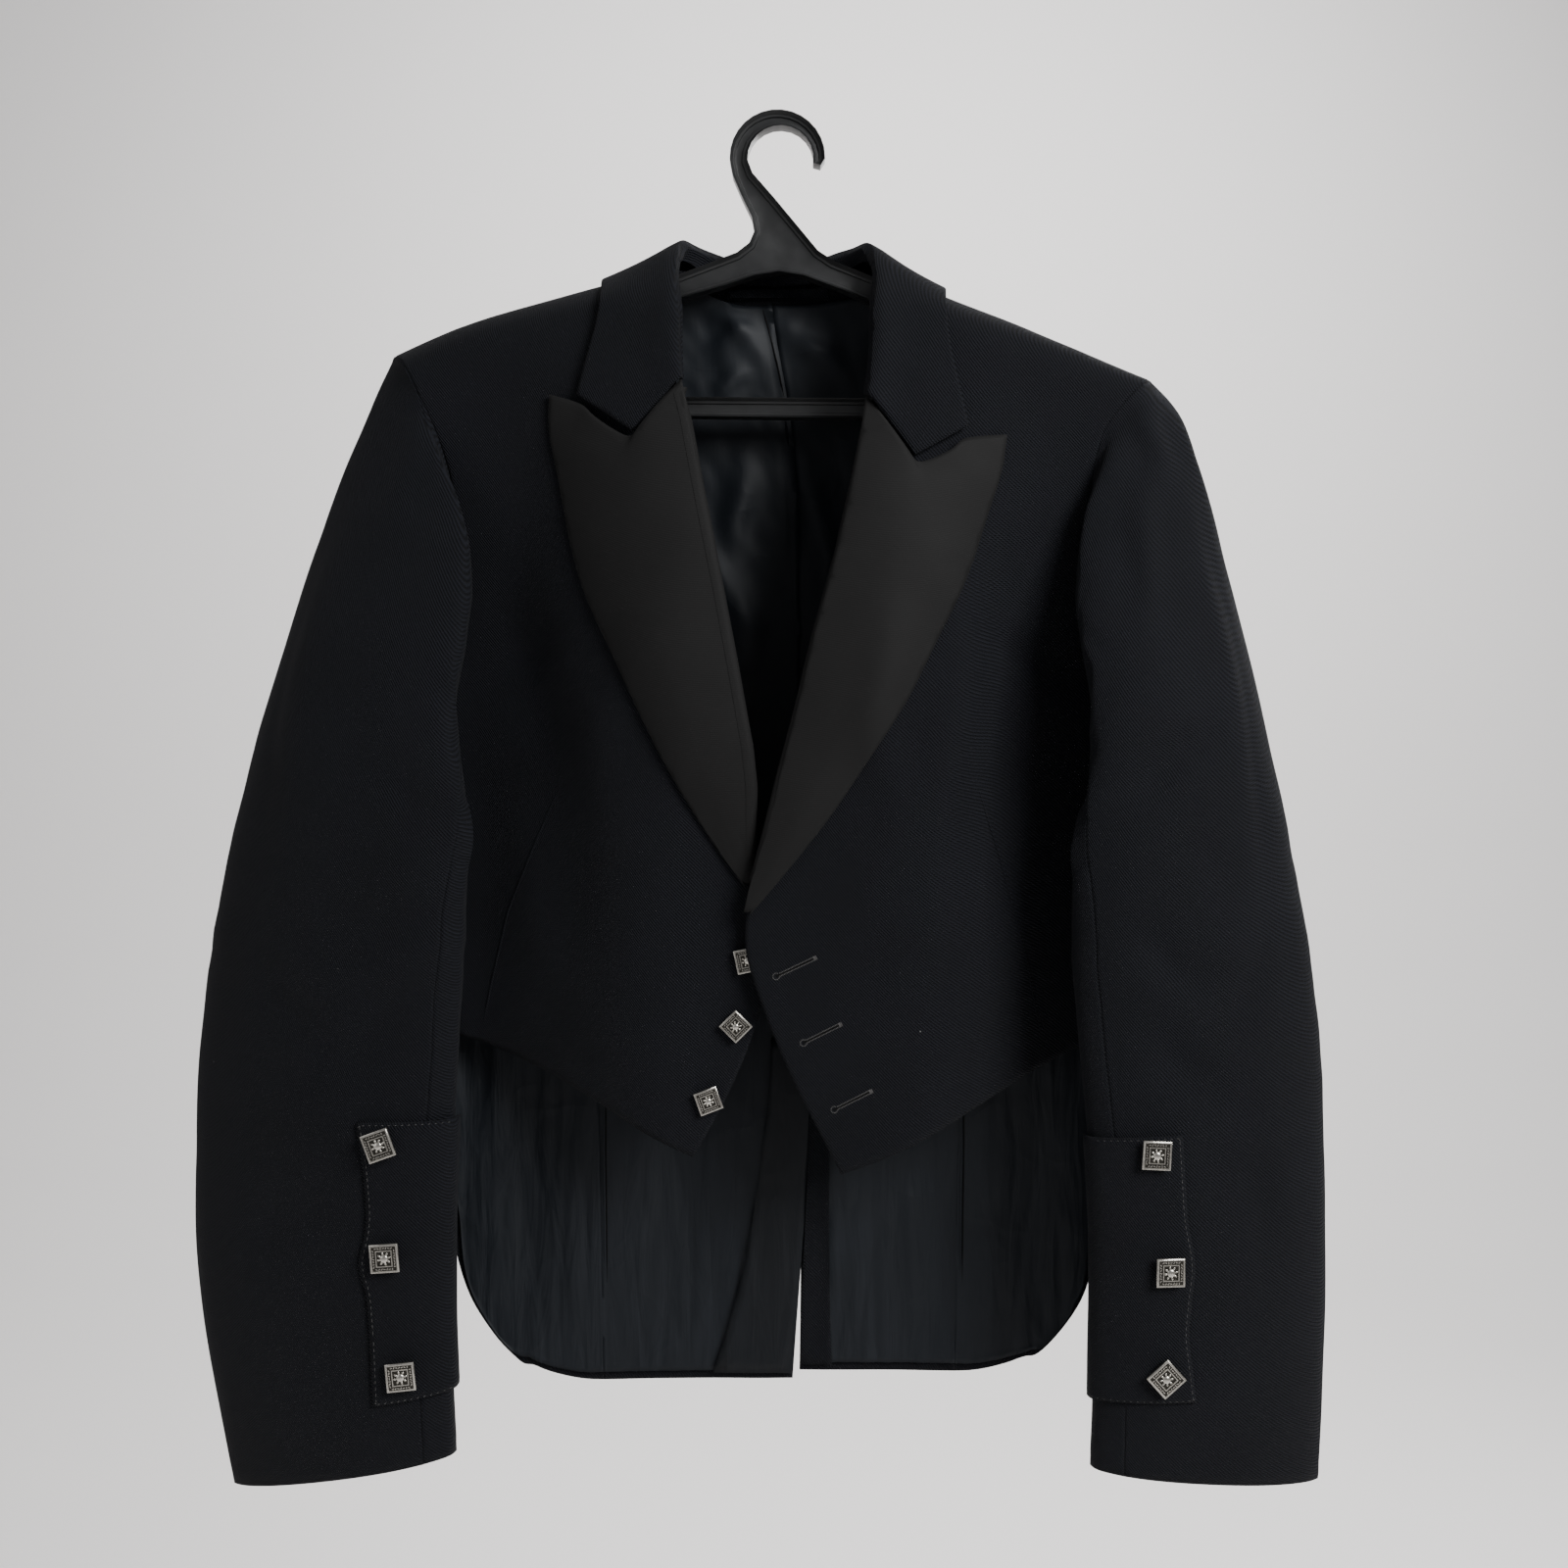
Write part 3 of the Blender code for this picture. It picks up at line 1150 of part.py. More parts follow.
def make_buttons(metal):
    """Three buttons on each cuff flap and three on the right front."""
    for side, rows in CUFF_BUTTONS.items():
        for number, row in enumerate(rows, 1):
            down, angle = ring_place(side, row.x, row.z)
            place, normal = ring_face(side, down, angle, LAYER_GAP + FLAP_THICK)
            make_button(f"button_cuff_{side}_{number}", metal, place, normal, row.turn)
    for number, row in enumerate(FRONT_BUTTONS, 1):
        place, normal = sheet_face(lambda x, z: front_sheet("right", x, z), (row.x, row.z), -1)
        make_button(f"button_front_{number}", metal, place, normal, row.turn)


def make_material(name, colour, roughness, metallic=0.0):
    material = bpy.data.materials.new(name)
    material.use_nodes = True
    shader = material.node_tree.nodes["Principled BSDF"]
    shader.inputs["Base Color"].default_value = (*colour, 1.0)
    shader.inputs["Roughness"].default_value = roughness
    shader.inputs["Metallic"].default_value = metallic
    return material


for old in list(bpy.data.objects):
    bpy.data.objects.remove(old, do_unlink=True)
collection = bpy.data.collections.new("prince_charlie_jacket")
bpy.context.scene.collection.children.link(collection)

wool_cloth = make_material("wool", (0.012, 0.013, 0.016), 0.85)
satin_cloth = make_material("satin", (0.018, 0.018, 0.018), 0.55)
lining_cloth = make_material("lining", (0.020, 0.024, 0.026), 0.45)
black_plastic = make_material("black_plastic", (0.020, 0.021, 0.022), 0.35)
old_silver = make_material("old_silver", (0.55, 0.54, 0.50), 0.35, 1.0)

for wearer_side in SIDES:
    make_body(wearer_side, wool_cloth)
    make_sleeve(wearer_side, wool_cloth)
    make_flap(wearer_side, wool_cloth)
    make_lapel(wearer_side, satin_cloth)
    make_lining(wearer_side, lining_cloth, wool_cloth)
make_neck(wool_cloth)
make_collar(wool_cloth)
make_hanger(black_plastic)
make_buttons(old_silver)
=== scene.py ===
"""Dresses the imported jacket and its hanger: draped cloth, sewing, metal buttons, moulded plastic."""

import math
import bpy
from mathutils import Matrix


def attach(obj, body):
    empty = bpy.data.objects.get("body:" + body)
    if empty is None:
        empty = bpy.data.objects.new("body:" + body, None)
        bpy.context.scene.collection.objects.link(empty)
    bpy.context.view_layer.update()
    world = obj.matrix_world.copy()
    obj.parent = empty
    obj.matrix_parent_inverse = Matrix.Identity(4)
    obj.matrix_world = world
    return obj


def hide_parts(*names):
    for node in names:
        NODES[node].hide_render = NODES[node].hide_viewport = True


bl_info = {
    "name": "Prince Charlie Jacket",
    "version": (1, 0, 0),
    "blender": (4, 5, 0),
    "location": "3D View > Sidebar > Jacket",
    "description": "Dresses a black evening jacket on its hanger",
    "category": "Object",
}

from collections import namedtuple

import bmesh
import bpy
from bpy.props import FloatProperty, FloatVectorProperty, PointerProperty
from mathutils import Matrix, Vector, noise
from mathutils.bvhtree import BVHTree

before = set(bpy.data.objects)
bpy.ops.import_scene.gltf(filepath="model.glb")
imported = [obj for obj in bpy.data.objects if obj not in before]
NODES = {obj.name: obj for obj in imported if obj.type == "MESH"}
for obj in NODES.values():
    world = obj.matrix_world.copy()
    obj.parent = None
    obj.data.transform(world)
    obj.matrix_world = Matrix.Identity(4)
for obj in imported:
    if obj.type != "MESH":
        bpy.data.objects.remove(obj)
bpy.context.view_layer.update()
BODY = "root"

# Cut sizes of the cloth that shows: width, length and flat area
Cut = namedtuple("Cut", "width length area")
Piece = namedtuple("Piece", "node finish levels folds cut")
PANELS = [
    Piece("front_left", "wool", 3, "front", Cut(0.219, 0.528, 0.0857)),
    Piece("front_right", "wool", 3, "front", Cut(0.194, 0.525, 0.0817)),
    Piece("back_left", "wool", 3, "back", Cut(0.213, 0.663, 0.0856)),
    Piece("back_right", "wool", 3, "back", Cut(0.228, 0.675, 0.1026)),
    Piece("side_left", "wool", 3, "side", Cut(0.121, 0.490, 0.0431)),
    Piece("side_right", "wool", 3, "side", Cut(0.121, 0.495, 0.0438)),
]
SLEEVES = [
    Piece("topsleeve_left", "wool", 3, "sleeve", Cut(0.176, 0.660, 0.0915)),
    Piece("topsleeve_right", "wool", 3, "sleeve", Cut(0.184, 0.680, 0.0978)),
    Piece("undersleeve_left", "wool", 3, "sleeve", Cut(0.165, 0.640, 0.0861)),
    Piece("undersleeve_right", "wool", 3, "sleeve", Cut(0.175, 0.660, 0.0919)),
    Piece("cuff_flap_left", "wool", 2, "sleeve", Cut(0.066, 0.151, 0.0094)),
    Piece("cuff_flap_right", "wool", 2, "sleeve", Cut(0.063, 0.159, 0.0088)),
]
NECKWEAR = [
    Piece("collar", "wool", 3, "collar", Cut(0.400, 0.095, 0.0258)),
    Piece("lapel_left", "satin", 3, "front", Cut(0.090, 0.300, 0.0163)),
    Piece("lapel_right", "satin", 3, "front", Cut(0.087, 0.300, 0.0176)),
]
LININGS = [
    Piece("lining_back_left", "lining", 3, "lining", Cut(0.208, 0.644, 0.0816)),
    Piece("lining_back_right", "lining", 3, "lining", Cut(0.225, 0.655, 0.0984)),
    Piece("lining_side_left", "lining", 3, "lining", Cut(0.110, 0.385, 0.0316)),
    Piece("lining_side_right", "lining", 3, "lining", Cut(0.110, 0.385, 0.0322)),
    Piece("vent_facing_left", "wool", 2, "lining", Cut(0.020, 0.198, 0.0030)),
    Piece("vent_facing_right", "facing", 2, "lining", Cut(0.046, 0.203, 0.0069)),
]
NECK_STRIPS = ("neck_facing", "hanging_loop")

# Creases seen from the front: a straight run, its half width, and its height out of the cloth
Crease = namedtuple("Crease", "x0 z0 x1 z1 width height")
FRONT_CREASES = [
    Crease(0.058, -0.310, 0.063, -0.405, 0.014, 0.0016),
    Crease(0.099, -0.265, 0.104, -0.395, 0.018, 0.0022),
    Crease(0.138, -0.235, 0.122, -0.430, 0.020, -0.0020),
    Crease(-0.085, -0.300, -0.100, -0.420, 0.020, 0.0015),
    Crease(-0.152, -0.225, -0.128, -0.385, 0.020, -0.0022),
    Crease(0.176, -0.335, 0.118, -0.300, 0.011, -0.0015),
    Crease(-0.176, -0.335, -0.123, -0.305, 0.011, -0.0015),
    Crease(-0.162, -0.400, -0.110, -0.520, 0.016, 0.0013),
    Crease(0.152, -0.410, 0.108, -0.535, 0.016, 0.0014),
]
BACK_CREASES = [
    Crease(-0.122, -0.175, -0.090, -0.370, 0.022, 0.0022),
    Crease(0.131, -0.165, 0.101, -0.345, 0.024, 0.0024),
    Crease(-0.168, -0.300, -0.050, -0.332, 0.013, -0.0018),
    Crease(0.172, -0.312, 0.060, -0.345, 0.014, -0.0017),
    Crease(-0.105, -0.418, 0.070, -0.432, 0.018, -0.0015),
    Crease(0.020, -0.505, 0.152, -0.478, 0.016, -0.0014),
    Crease(-0.150, -0.470, -0.035, -0.492, 0.013, -0.0012),
    Crease(-0.062, -0.480, -0.072, -0.700, 0.020, 0.0018),
    Crease(0.082, -0.500, 0.092, -0.710, 0.022, 0.0020),
]
# The sleeves' creases hold the distance from the middle as x, on the front and on the back
SLEEVE_CREASES = {
    "left": [
        Crease(0.2125, -0.168, 0.2145, -0.215, 0.007, 0.0020),
        Crease(0.2145, -0.215, 0.1998, -0.300, 0.008, 0.0018),
        Crease(0.188, -0.395, 0.236, -0.366, 0.011, -0.0018),
        Crease(0.186, -0.468, 0.241, -0.502, 0.012, -0.0020),
        Crease(0.190, -0.520, 0.256, -0.566, 0.014, -0.0019),
        Crease(0.296, -0.455, 0.248, -0.520, 0.012, -0.0014),
        Crease(0.238, -0.245, 0.276, -0.440, 0.020, 0.0018),
        Crease(0.244, -0.600, 0.300, -0.640, 0.018, -0.0014),
    ],
    "right": [
        Crease(0.2150, -0.180, 0.2120, -0.240, 0.009, 0.0012),
        Crease(0.186, -0.402, 0.230, -0.380, 0.011, -0.0016),
        Crease(0.184, -0.452, 0.246, -0.480, 0.013, -0.0020),
        Crease(0.188, -0.505, 0.260, -0.548, 0.014, -0.0018),
        Crease(0.306, -0.470, 0.256, -0.530, 0.013, -0.0015),
        Crease(0.242, -0.240, 0.284, -0.430, 0.022, 0.0018),
        Crease(0.250, -0.620, 0.316, -0.655, 0.018, -0.0014),
    ],
}
LINING_CREASES = [
    Crease(-0.0105, -0.0930, -0.0040, -0.1230, 0.0028, -0.0007),
    Crease(-0.0040, -0.1180, 0.0025, -0.1660, 0.0028, -0.0007),
    Crease(0.0060, -0.1660, 0.0090, -0.2500, 0.0030, -0.0018),
    Crease(-0.0170, -0.1000, -0.0080, -0.1500, 0.0090, 0.0002),
    Crease(-0.0285, -0.1080, -0.0300, -0.1300, 0.0070, 0.0022),
    Crease(-0.0300, -0.1350, -0.0290, -0.1560, 0.0080, 0.0022),
    Crease(-0.0260, -0.1950, -0.0230, -0.2500, 0.0090, 0.0030),
    Crease(-0.0400, -0.1000, -0.0100, -0.1300, 0.0070, 0.0022),
    Crease(0.0100, -0.1150, 0.0380, -0.1420, 0.0070, 0.0024),
    Crease(0.0180, -0.1900, 0.0300, -0.3000, 0.0090, 0.0026),
    Crease(-0.0550, -0.2200, -0.0200, -0.3100, 0.0100, 0.0030),
]
# Half the width over which the body lies flat, and how much stronger the listed creases are drawn
SIDE_FLAT = 0.185
CREASE_GAIN = 1.9
# Edges of a cloth's wall are shorter than this, and a border that turns by more is a corner
WALL_EDGE = 0.0032
CORNER_TURN = math.radians(56)
SWELL_TURNS = 3
SIGNS = {"left": 1.0, "right": -1.0}

# Where the roll of each lapel runs, from the gorge to the break
Place = namedtuple("Place", "x z")
ROLL_LINE = {
    "right": [Place(-0.0563, -0.1660), Place(-0.0515, -0.1846), Place(-0.0433, -0.2281), Place(-0.0324, -0.2824),
              Place(-0.0243, -0.3259), Place(-0.0167, -0.3695), Place(-0.0145, -0.3912), Place(-0.0146, -0.4380)],
    "left": [Place(0.0512, -0.1730), Place(0.0426, -0.2172), Place(0.0328, -0.2607), Place(0.0208, -0.3042),
             Place(0.0111, -0.3450), Place(0.0018, -0.3803), Place(-0.0063, -0.4129), Place(-0.0150, -0.4420)],
}
DARTS = {
    "right": [Place(-0.1232, -0.3846), Place(-0.1409, -0.4244), Place(-0.1575, -0.4631),
              Place(-0.1686, -0.5074), Place(-0.1752, -0.5383)],
    "left": [Place(0.1110, -0.3840), Place(0.1270, -0.4330), Place(0.1430, -0.4910), Place(0.1550, -0.5440)],
}
LINING_SEAMS = {
    "right": [Place(-0.1055, -0.5350), Place(-0.1055, -0.6150), Place(-0.1050, -0.6900)],
    "left": [Place(0.1100, -0.5350), Place(0.1105, -0.6150), Place(0.1095, -0.6900)],
}
# The line down the lining's pleat, drawn near-black as painted shade in its fold
LINING_PLEAT = [Place(-0.0105, -0.0990), Place(-0.0065, -0.1130), Place(-0.0010, -0.1350), Place(0.0030, -0.1540)]
# Along the top of each lapel: where the collar's end meets it, the collar's corner, and the tip of the peak
LAPEL_CORNERS = {
    "lapel_left": [Place(0.0778, -0.2112), Place(0.1056, -0.1958), Place(0.1300, -0.1938)],
    "lapel_right": [Place(-0.0834, -0.1962), Place(-0.1120, -0.1738), Place(-0.1310, -0.1668)],
}
# How far the sleeves stand out from their middles at each height
Fullness = namedtuple("Fullness", "z out")
SLEEVE_FULLNESS = {
    "left": [Fullness(-0.155, 0.010), Fullness(-0.175, 0.0095), Fullness(-0.200, 0.0065), Fullness(-0.260, 0.0050),
             Fullness(-0.340, 0.0045), Fullness(-0.420, 0.0025), Fullness(-0.520, 0.0018), Fullness(-0.600, 0.0)],
    "right": [Fullness(-0.135, 0.0070), Fullness(-0.180, 0.0050), Fullness(-0.240, 0.0035), Fullness(-0.310, 0.0048),
              Fullness(-0.360, 0.0058), Fullness(-0.470, 0.0058), Fullness(-0.520, 0.0030), Fullness(-0.600, 0.0)],
}
# How far the left shoulder stands up, the vent closes at its foot, and the vent's facings run up
SHOULDER_RISE = 0.0042
VENT_CLOSE = 0.0040
FACING_RISE = 0.062
# The right tail's corner, how far it is drawn in to a round, and over what radius
TAIL_CORNER = Place(-0.153, -0.730)
TAIL_ROUND = 0.0020
TAIL_REACH = 0.010
# Keyhole buttonholes in the left front, from the eye to the bar
Hole = namedtuple("Hole", "eye_x eye_z bar_x bar_z")
BUTTONHOLES = [
    Hole(-0.0014, -0.4959, 0.0203, -0.4856),
    Hole(0.0138, -0.5333, 0.0344, -0.5230),
    Hole(0.0311, -0.5713, 0.0517, -0.5610),
]
# Radius of a buttonhole's eye, half the width of its slit, and the step and size of its purl stitches
HOLE_EYE = 0.0019
HOLE_GAP = 0.0009
PURL_STEP = 0.00085
PURL_LENGTH = 0.00095
PURL_THICK = 0.00060
FRONT_BUTTONS = ("button_front_1", "button_front_2", "button_front_3")
# Width of the front buttons as a share of the cuff buttons'
FRONT_SHARE = 0.84
CUFF_BUTTONS = tuple(f"button_cuff_{side}_{i}" for side in SIGNS for i in (1, 2, 3))

# The backdrop's width and length, how far its floor runs, where that starts, and the radius of its turn up
BACKDROP_WIDTH = 26.0
BACKDROP_LENGTH = 22.0
FLOOR_RUN = 15.0
FLOOR_START = -12.2
TURN_RADIUS = 1.2
CAMERA_SPOT = (0.003, -0.930, -0.389)


class JacketCloth(bpy.types.PropertyGroup):
    """Colours and drape of the cloth."""

    wool: FloatVectorProperty(
        name="Wool", description="Colour of the wool", subtype="COLOR", size=3, default=(0.0034, 0.0038, 0.0055)
    )
    satin: FloatVectorProperty(
        name="Satin", description="Colour of the lapels", subtype="COLOR", size=3, default=(0.0078, 0.0077, 0.0077)
    )
    lining: FloatVectorProperty(
        name="Lining", description="Colour of the lining", subtype="COLOR", size=3, default=(0.0062, 0.0081, 0.0110)
    )
    weave: FloatProperty(
        name="Weave", description="Width of one twill line", unit="LENGTH", default=0.0010, min=0.0004
    )
    drape: FloatProperty(
        name="Drape", description="Height of the cloth's soft unevenness", unit="LENGTH", default=0.0018
    )
    crumple: FloatProperty(
        name="Crumple", description="Height of the lining's crumples", unit="LENGTH", default=0.0019
    )


class JacketSewing(bpy.types.PropertyGroup):
    """Sizes of the sewing."""

    stitch: FloatProperty(name="Stitch", description="Length of a stitch", unit="LENGTH", default=0.0024)
    space: FloatProperty(name="Space", description="Space between stitches", unit="LENGTH", default=0.0012)
    edge: FloatProperty(
        name="Edge", description="Distance of the flaps' stitching from their edge", unit="LENGTH", default=0.0016
    )
    thread: FloatProperty(name="Thread", description="Thickness of the thread", unit="LENGTH", default=0.00034)
    seam_dip: FloatProperty(name="Seam Dip", description="How far a seam sinks", unit="LENGTH", default=0.0006)
    seam_close: FloatProperty(
        name="Seam Close", description="How far a piece reaches into its seam", unit="LENGTH", default=0.0002
    )
    colour: FloatVectorProperty(
        name="Thread Colour", description="Colour of the thread", subtype="COLOR", size=3,
        default=(0.080, 0.078, 0.077),
    )


class JacketHardware(bpy.types.PropertyGroup):
    """Sizes and colours of the buttons and the hanger."""

    side: FloatProperty(name="Button", description="Side of a square button", unit="LENGTH", default=0.016)
    silver: FloatVectorProperty(
        name="Silver", description="Colour of the worn metal", subtype="COLOR", size=3, default=(0.56, 0.54, 0.49)
    )
    patina: FloatVectorProperty(
        name="Patina", description="Colour in the hollows", subtype="COLOR", size=3, default=(0.050, 0.047, 0.040)
    )
    plastic: FloatVectorProperty(
        name="Plastic", description="Colour of the hanger", subtype="COLOR", size=3, default=(0.0120, 0.0124, 0.0128)
    )
    edge: FloatProperty(name="Edge", description="Rounding of the hanger", unit="LENGTH", default=0.0003)
    rim: FloatProperty(name="Rim", description="Width of the hanger's raised rims", unit="LENGTH", default=0.0013)
    rim_height: FloatProperty(name="Rim Height", description="Height of the rims", unit="LENGTH", default=0.0010)


class JacketStage(bpy.types.PropertyGroup):
    """The floor, the lights and the camera."""

    pale: FloatVectorProperty(
        name="Pale", description="Colour of the floor", subtype="COLOR", size=3, default=(0.86, 0.84, 0.83)
    )
    floor: FloatProperty(name="Floor", description="Height of the floor", unit="LENGTH", default=-1.75)
    key: FloatProperty(name="Key", description="Power of the main light", subtype="POWER", default=80.0)
    wash: FloatProperty(name="Wash", description="Power of the light on the backdrop", subtype="POWER", default=150.0)
    fill: FloatProperty(name="Fill", description="Power of the fill light", subtype="POWER", default=7.0)
    sky: FloatProperty(name="Sky", description="Strength of the light from all round", default=0.36)


def mix(a, b, t):
    return a + (b - a) * t


def ramp(value, start, end):
    """0 at start, 1 at end, smooth between."""
    t = min(1.0, max(0.0, (value - start) / (end - start)))
    return t * t * (3 - 2 * t)


def along(places, share):
    """A point of a chain of places, share from 0 to 1 of its height."""
    z = mix(places[0].z, places[-1].z, share)
    for a, b in zip(places, places[1:]):
        if z >= b.z or b is places[-1]:
            t = (z - a.z) / (b.z - a.z)
            return mix(a.x, b.x, t), z


def crease_height(x, z, creases):
    total = 0.0
    for crease in creases:
        run_x, run_z = crease.x1 - crease.x0, crease.z1 - crease.z0
        share = ((x - crease.x0) * run_x + (z - crease.z0) * run_z) / (run_x**2 + run_z**2)
        share = min(1.0, max(0.0, share))
        bend = crease.width * 0.5 * math.sin(5.0 * share + 90 * crease.x0)
        away = math.hypot(x - crease.x0 - run_x * share + bend, z - crease.z0 - run_z * share)
        if away < 2.6 * crease.width:
            taper = math.sin(math.pi * mix(0.10, 0.90, share)) ** 0.8
            total += CREASE_GAIN * crease.height * taper * math.exp(-((away / crease.width) ** 2))
    return total


def sleeve_axis(side):
    """The middle of a sleeve at many heights, read from its two solids."""
    points = [v.co for name in ("topsleeve_", "undersleeve_") for v in NODES[name + side].data.vertices]
    low, high = min(p.z for p in points), max(p.z for p in points)
    steps = 26
    axis = []
    for step in range(steps + 1):
        z = mix(high, low, step / steps)
        near = [p for p in points if abs(p.z - z) < 0.030]
        axis.append(Vector((
            (min(p.x for p in near) + max(p.x for p in near)) / 2,
            (min(p.y for p in near) + max(p.y for p in near)) / 2,
            z,
        )))
    return axis


AXES = {side: sleeve_axis(side) for side in SIGNS}


def axis_at(side, z):
    axis = AXES[side]
    share = min(0.9999, max(0.0, (z - axis[0].z) / (axis[-1].z - axis[0].z))) * (len(axis) - 1)
    first = int(share)
    return axis[first].lerp(axis[first + 1], share - first)


def outward(folds, co):
    """The way out of the cloth at a point, the same on both faces of its wall."""
    if folds == "sleeve":
        middle = axis_at("left" if co.x > 0 else "right", co.z)
        away = Vector((co.x - middle.x, (co.y - middle.y) * 1.6, 0.0))
    elif folds == "collar":
        away = Vector((co.x * 0.8, co.y + 0.004, 0.0))
    else:
        away = Vector((co.x - min(SIDE_FLAT, max(-SIDE_FLAT, co.x)), co.y, 0.0))
    return away.normalized() if away.length > 1e-6 else Vector((0.0, -1.0, 0.0))


def lift_of(folds, co, out, cloth):
    """How far the drape moves a point of the cloth out."""
    slow = noise.noise(Vector((co.x * 13, co.y * 13, co.z * 7)))
    fast = noise.noise(Vector((co.x * 34 + 7, co.y * 34, co.z * 24 + 3)))
    lift = cloth.drape * (0.75 * slow + 0.22 * fast)
    if folds == "sleeve":
        side = "left" if co.x > 0 else "right"
        facing = ramp(abs(out.y), 0.15, 0.75)
        x, z = (abs(co.x), co.z) if out.y < 0 else (abs(co.x) + 0.006, co.z - 0.022)
        lift += facing * crease_height(x, z, SLEEVE_CREASES[side])
        elbow = math.exp(-(((co.z + 0.46) / 0.09) ** 2))
        lift += 0.0012 * elbow * noise.noise(Vector((co.x * 22, co.y * 30, co.z * 62)))
        return lift * ramp(co.z, -0.800, -0.740)
    if folds in ("front", "side") and out.y < 0:
        return lift + crease_height(co.x, co.z, FRONT_CREASES)
    if folds == "collar":
        return 0.35 * lift
    return lift + crease_height(co.x, co.z, BACK_CREASES)


def crumple_of(co, cloth):
    """How far the lining stands in from its cloth: crumpled behind the neck, crinkled down the tails."""
    tails = ramp(co.z, -0.46, -0.54)
    broad = abs(noise.noise(Vector((co.x * 30, 2.0, co.z * 17))))
    small = abs(noise.noise(Vector((co.x * 66 + co.z * 22, 5.0, co.z * 40))))
    crinkle = abs(noise.noise(Vector((co.x * 85, 9.0, co.z * 11)))) ** 0.8
    edge = ramp(co.z, -0.096, -0.112)
    behind_neck = (0.75 * broad + 0.75 * small) * (1 - tails)
    return cloth.crumple * edge * (behind_neck + 0.85 * crinkle * tails + 0.45 * broad * tails)


def link(name, bm, finish, smooth=50, replaces=()):
    """Makes a finished piece of a bmesh: named, painted, and riding on the frame."""
    mesh = bpy.data.meshes.new(name)
    bm.to_mesh(mesh)
    bm.free()
    obj = bpy.data.objects.new(name, mesh)
    bpy.context.scene.collection.objects.link(obj)
    return finish_piece(obj, finish, smooth, replaces)


def finish_piece(obj, finish, smooth=50, replaces=()):
    obj.data.polygons.foreach_set("use_smooth", [True] * len(obj.data.polygons))
    obj.data.set_sharp_from_angle(angle=math.radians(smooth))
    obj.data.materials.clear()
    obj.data.materials.append(bpy.data.materials["dressed_" + finish])
    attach(obj, BODY)
    if replaces:
        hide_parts(*replaces)
    return obj


def copy_solid(node):
    """The merged solid of a node, its flat triangle pairs joined again."""
    bm = bmesh.new()
    bm.from_mesh(NODES[node].data)
    bmesh.ops.remove_doubles(bm, verts=bm.verts, dist=2e-5)
    bmesh.ops.join_triangles(
        bm, faces=bm.faces, angle_face_threshold=math.radians(38), angle_shape_threshold=math.radians(55)
    )
    return bm


def raise_facing(bm):
    """Runs a vent facing up under the front's hem, on top of the lining."""
    top = max(v.co.z for v in bm.verts)
    foot = min(v.co.z for v in bm.verts)
    for vert in bm.verts:
        share = ramp(vert.co.z, foot, top)
        vert.co += Vector((FACING_RISE * 0.10 * share, -0.0009 * ramp(share, 0.0, 0.3), FACING_RISE * share))


def fill_out(piece, co):
    """Fullness that hanging cloth has beyond its sections: wider sleeves, a higher shoulder, a closed vent."""
    if piece.folds != "collar":
        side = "left" if co.x > 0 else "right"
        table = SLEEVE_FULLNESS[side]
        z = min(table[0].z, max(table[-1].z, co.z))
        for a, b in zip(table, table[1:]):
            if z >= b.z:
                out = mix(a.out, b.out, (a.z - z) / (a.z - b.z))
                break
        co.x += SIGNS[side] * out * ramp(abs(co.x) - abs(axis_at(side, co.z).x), -0.025, 0.035)
    if co.x > 0:
        co.z += SHOULDER_RISE * ramp(co.x, 0.060, 0.150) * ramp(co.z, -0.290, -0.190)
    near = math.exp(-((math.hypot(co.x - TAIL_CORNER.x, co.z - TAIL_CORNER.z) / TAIL_REACH) ** 2))
    if piece.folds != "sleeve":
        co.x += 0.6 * TAIL_ROUND * near
        co.z += 0.8 * TAIL_ROUND * near
    if piece.node in ("back_right", "lining_back_right", "vent_facing_right"):
        co.x += VENT_CLOSE * ramp(co.x, -0.070, -0.008) * ramp(co.z, -0.520, -0.590)


def sharpen_corners(bm, crease):
    """Keeps the corners of the cloth's borders, such as a lapel's peak, where smoothing would round them."""
    corner = bm.verts.layers.float.new("crease_vert")
    for vert in bm.verts:
        runs = [
            (edge.other_vert(vert).co - vert.co).normalized()
            for edge in vert.link_edges
            if edge[crease] > 0.5 and edge.calc_length() > WALL_EDGE
        ]
        if len(runs) == 2 and runs[0].angle(-runs[1]) > CORNER_TURN:
            vert[corner] = 0.9


def evaluated_mesh(obj):
    bpy.context.view_layer.update()
    return bpy.data.meshes.new_from_object(obj.evaluated_get(bpy.context.evaluated_depsgraph_get()))


def subdivided(name, bm, levels):
    """The object of a bmesh after Subdivision Surface, with nothing left live.

    Smoothing draws a coarse form in, so the cage is first swelled until its corners come out where they were.
    """
    mesh = bpy.data.meshes.new(name + "_cage")
    bm.to_mesh(mesh)
    bm.free()
    obj = bpy.data.objects.new(name, mesh)
    bpy.context.scene.collection.objects.link(obj)
    obj.vertex_groups.new(name="rim")
    modifier = obj.modifiers.new("smooth", "SUBSURF")
    goals = [v.co.copy() for v in mesh.vertices]
    modifier.levels = 2
    for _ in range(SWELL_TURNS):
        trial = evaluated_mesh(obj)
        for vert, goal, reached in zip(mesh.vertices, goals, trial.vertices):
            vert.co += (goal - reached.co) * 0.8
        bpy.data.meshes.remove(trial)
        mesh.update()
    modifier.levels = modifier.render_levels = levels
    smoothed = evaluated_mesh(obj)
    obj.modifiers.clear()
    obj.data = smoothed
    smoothed.name = name
    bpy.data.meshes.remove(mesh)
    return obj


